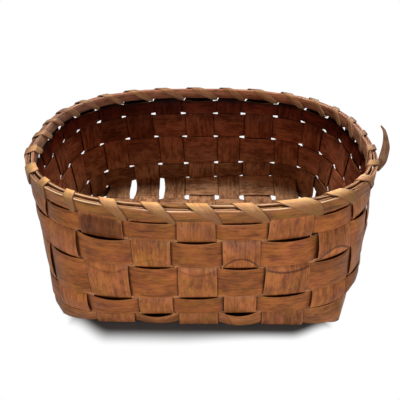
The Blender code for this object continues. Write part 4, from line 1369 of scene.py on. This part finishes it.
print("finishes:", sorted(FINISHES))

# %% [markdown]
# ## Put the strips on the frame
# Each new strip stands for one packed strip: it rides on the same body, hides the plain one
# and takes the finish whose name its node's name begins with.

# %% Dress the frame
for node, piece in {**SPLINTS, **RIM}.items():
    slot = next(slot for slot in FINISHES if node.startswith(slot))
    piece.data.materials.append(FINISHES[slot])
    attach(piece, "root")
    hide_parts(node)
print("dressed", len(SPLINTS) + len(RIM), "strips")

# %% [markdown]
# ## Camera
# The basket is seen from the front and a little over thirty degrees above. The camera looks
# at a point near the basket's middle, from the distance that gives its strong perspective.

# %% Place the camera
AZIMUTH, ELEVATION, ROLL = 0.0122, 0.5983, 0.0005
DISTANCE, TARGET = 0.4058, Vector((-0.0012, 0, 0.0537))
FOCAL_PIXELS, FRAME_PIXELS, SENSOR = 427.1, 400, 36

ground = math.cos(ELEVATION)
forward = Vector((-math.sin(AZIMUTH) * ground, math.cos(AZIMUTH) * ground, -math.sin(ELEVATION)))
right = forward.cross(Vector((0, 0, 1))).normalized()
up = right.cross(forward)
level_right = right * math.cos(ROLL) + up * math.sin(ROLL)
level_up = up * math.cos(ROLL) - right * math.sin(ROLL)
camera = bpy.data.objects.new("camera", bpy.data.cameras.new("camera"))
camera.data.sensor_width = SENSOR
camera.data.lens = FOCAL_PIXELS / FRAME_PIXELS * SENSOR
axes = Matrix((level_right, level_up, -forward)).transposed().to_4x4()
camera.matrix_world = Matrix.Translation(TARGET - forward * DISTANCE) @ axes
bpy.context.scene.collection.objects.link(camera)
bpy.context.scene.camera = camera
print("lens", round(camera.data.lens, 1), "mm")

# %% [markdown]
# ## Floor
# The basket stands on a matt floor. Away from it the floor is shown as plain white, and only
# rays from the camera or a mirror see that glow, so it lights nothing. Close to the foot the
# floor itself shows, a dark grey of painted shade that deepens the basket's soft shadow, which
# fades out where the white begins. Under the base it is nearly black, painted shade since little
# light would reach there, and that is what the gaps of the weave show.

# %% Lay the floor
FLOOR_SIZE = 3.0
FLOOR_GREY, UNDER_BASE = (0.15, 0.15, 0.15, 1), (0.02, 0.01, 0.006, 1)
# How far the floor itself shows before the basket, and how much its outline narrows towards the front
SHADOW_REACH, SHADOW_NARROWS = 18 * MM, 0.44


def floor_material():
    """A matt floor, shown as plain white away from the basket."""
    material, nodes, shader = new_material("pale floor")
    shader.inputs["Roughness"].default_value = 0.9
    shader.inputs["Specular IOR Level"].default_value = 0.1
    glow = nodes.new("ShaderNodeEmission")
    glow.inputs["Color"].default_value = (1, 1, 1, 1)
    x, y, _ = nodes.parts(nodes.new("ShaderNodeTexCoord").outputs["Object"])
    side, before = nodes.math("ABSOLUTE", x), nodes.times(y, -1.0)
    # Painted shade: the floor's colour is dark grey near the foot and nearly black under the base
    under = nodes.ramp(before, 50 * MM, 66 * MM, 1.0, 0.0)
    nodes.feed(shader.inputs["Base Color"], nodes.mix(under, FLOOR_GREY, UNDER_BASE))
    # White before the shadow, which reaches less far to the right and near its ends
    beyond = nodes.math("SUBTRACT", before, FOOT_HALF_WIDTH)
    beyond = nodes.times(beyond, nodes.ramp(x, -20 * MM, 60 * MM, 1.0, 1.5))
    beyond = nodes.plus(beyond, nodes.ramp(side, 72 * MM, 108 * MM, 0.0, SHADOW_REACH))
    ahead = nodes.ramp(beyond, 0.0, SHADOW_REACH)
    # White beside it and behind
    slant = nodes.plus(side, nodes.times(before, SHADOW_NARROWS))
    beside = nodes.times(nodes.ramp(slant, 141 * MM, 156 * MM), nodes.ramp(before, 88 * MM, 95 * MM))
    beside = nodes.most(beside, nodes.ramp(slant, 154 * MM, 157.5 * MM))
    beside = nodes.most(beside, nodes.ramp(side, 130 * MM, 140 * MM))
    behind = nodes.ramp(y, 50 * MM, 60 * MM)
    plain = nodes.most(beside, nodes.most(ahead, behind))
    rays = nodes.new("ShaderNodeLightPath").outputs
    seen = nodes.most(rays["Is Camera Ray"], nodes.most(rays["Is Glossy Ray"], rays["Is Transmission Ray"]))
    blend = nodes.new("ShaderNodeMixShader")
    for socket, value in zip(blend.inputs, (nodes.times(plain, seen), shader.outputs[0], glow.outputs[0])):
        nodes.feed(socket, value)
    nodes.feed(material.node_tree.nodes["Material Output"].inputs["Surface"], blend.outputs[0])
    return material


corners = [(x * FLOOR_SIZE, y * FLOOR_SIZE, 0) for x, y in ((-1, -1), (1, -1), (1, 1), (-1, 1))]
mesh = bpy.data.meshes.new("floor")
mesh.from_pydata(corners, [], [(0, 1, 2, 3)])
mesh.materials.append(floor_material())
floor = bpy.data.objects.new("floor", mesh)
bpy.context.scene.collection.objects.link(floor)
print("floor laid")

# %% [markdown]
# ## Light
# A dim even sky softens every shadow, and three soft lamps add shape: one low in front, one
# overhead, and one low behind on the right. Together they leave a mid colour about as bright
# as it is written.

# %% Set the lights
SKY_STRENGTH = 0.16
# Each lamp's place and size in metres, and its power in watts
LAMPS = (
    ("front lamp", (0.08, -1.15, 0.16), 0.35, 7.9),
    ("top lamp", (-0.03, 0.13, 1.1), 0.24, 10.0),
    ("back lamp", (0.4, 1.1, 0.25), 0.35, 6.0),
)
LIT_SPOT = Vector((0, 0, 0.05))
world = bpy.data.worlds.new("studio")
bpy.context.scene.world = world
world.use_nodes = True
nodes = Nodes(world.node_tree)
background = world.node_tree.nodes["Background"]
background.inputs["Color"].default_value = (1, 1, 1, 1)
rays = nodes.new("ShaderNodeLightPath").outputs
nodes.feed(background.inputs["Strength"], nodes.ramp(rays["Is Camera Ray"], 0.0, 1.0, SKY_STRENGTH, 1.0))
for name, place, size, power in LAMPS:
    lamp = bpy.data.objects.new(name, bpy.data.lights.new(name, "AREA"))
    lamp.data.size, lamp.data.energy = size, power
    lamp.location = place
    lamp.rotation_euler = (LIT_SPOT - Vector(place)).to_track_quat("-Z", "Y").to_euler()
    bpy.context.scene.collection.objects.link(lamp)
bpy.context.scene.view_settings.view_transform = "Standard"
print("lamps:", [name for name, *_ in LAMPS])

# %% [markdown]
# ## Finish
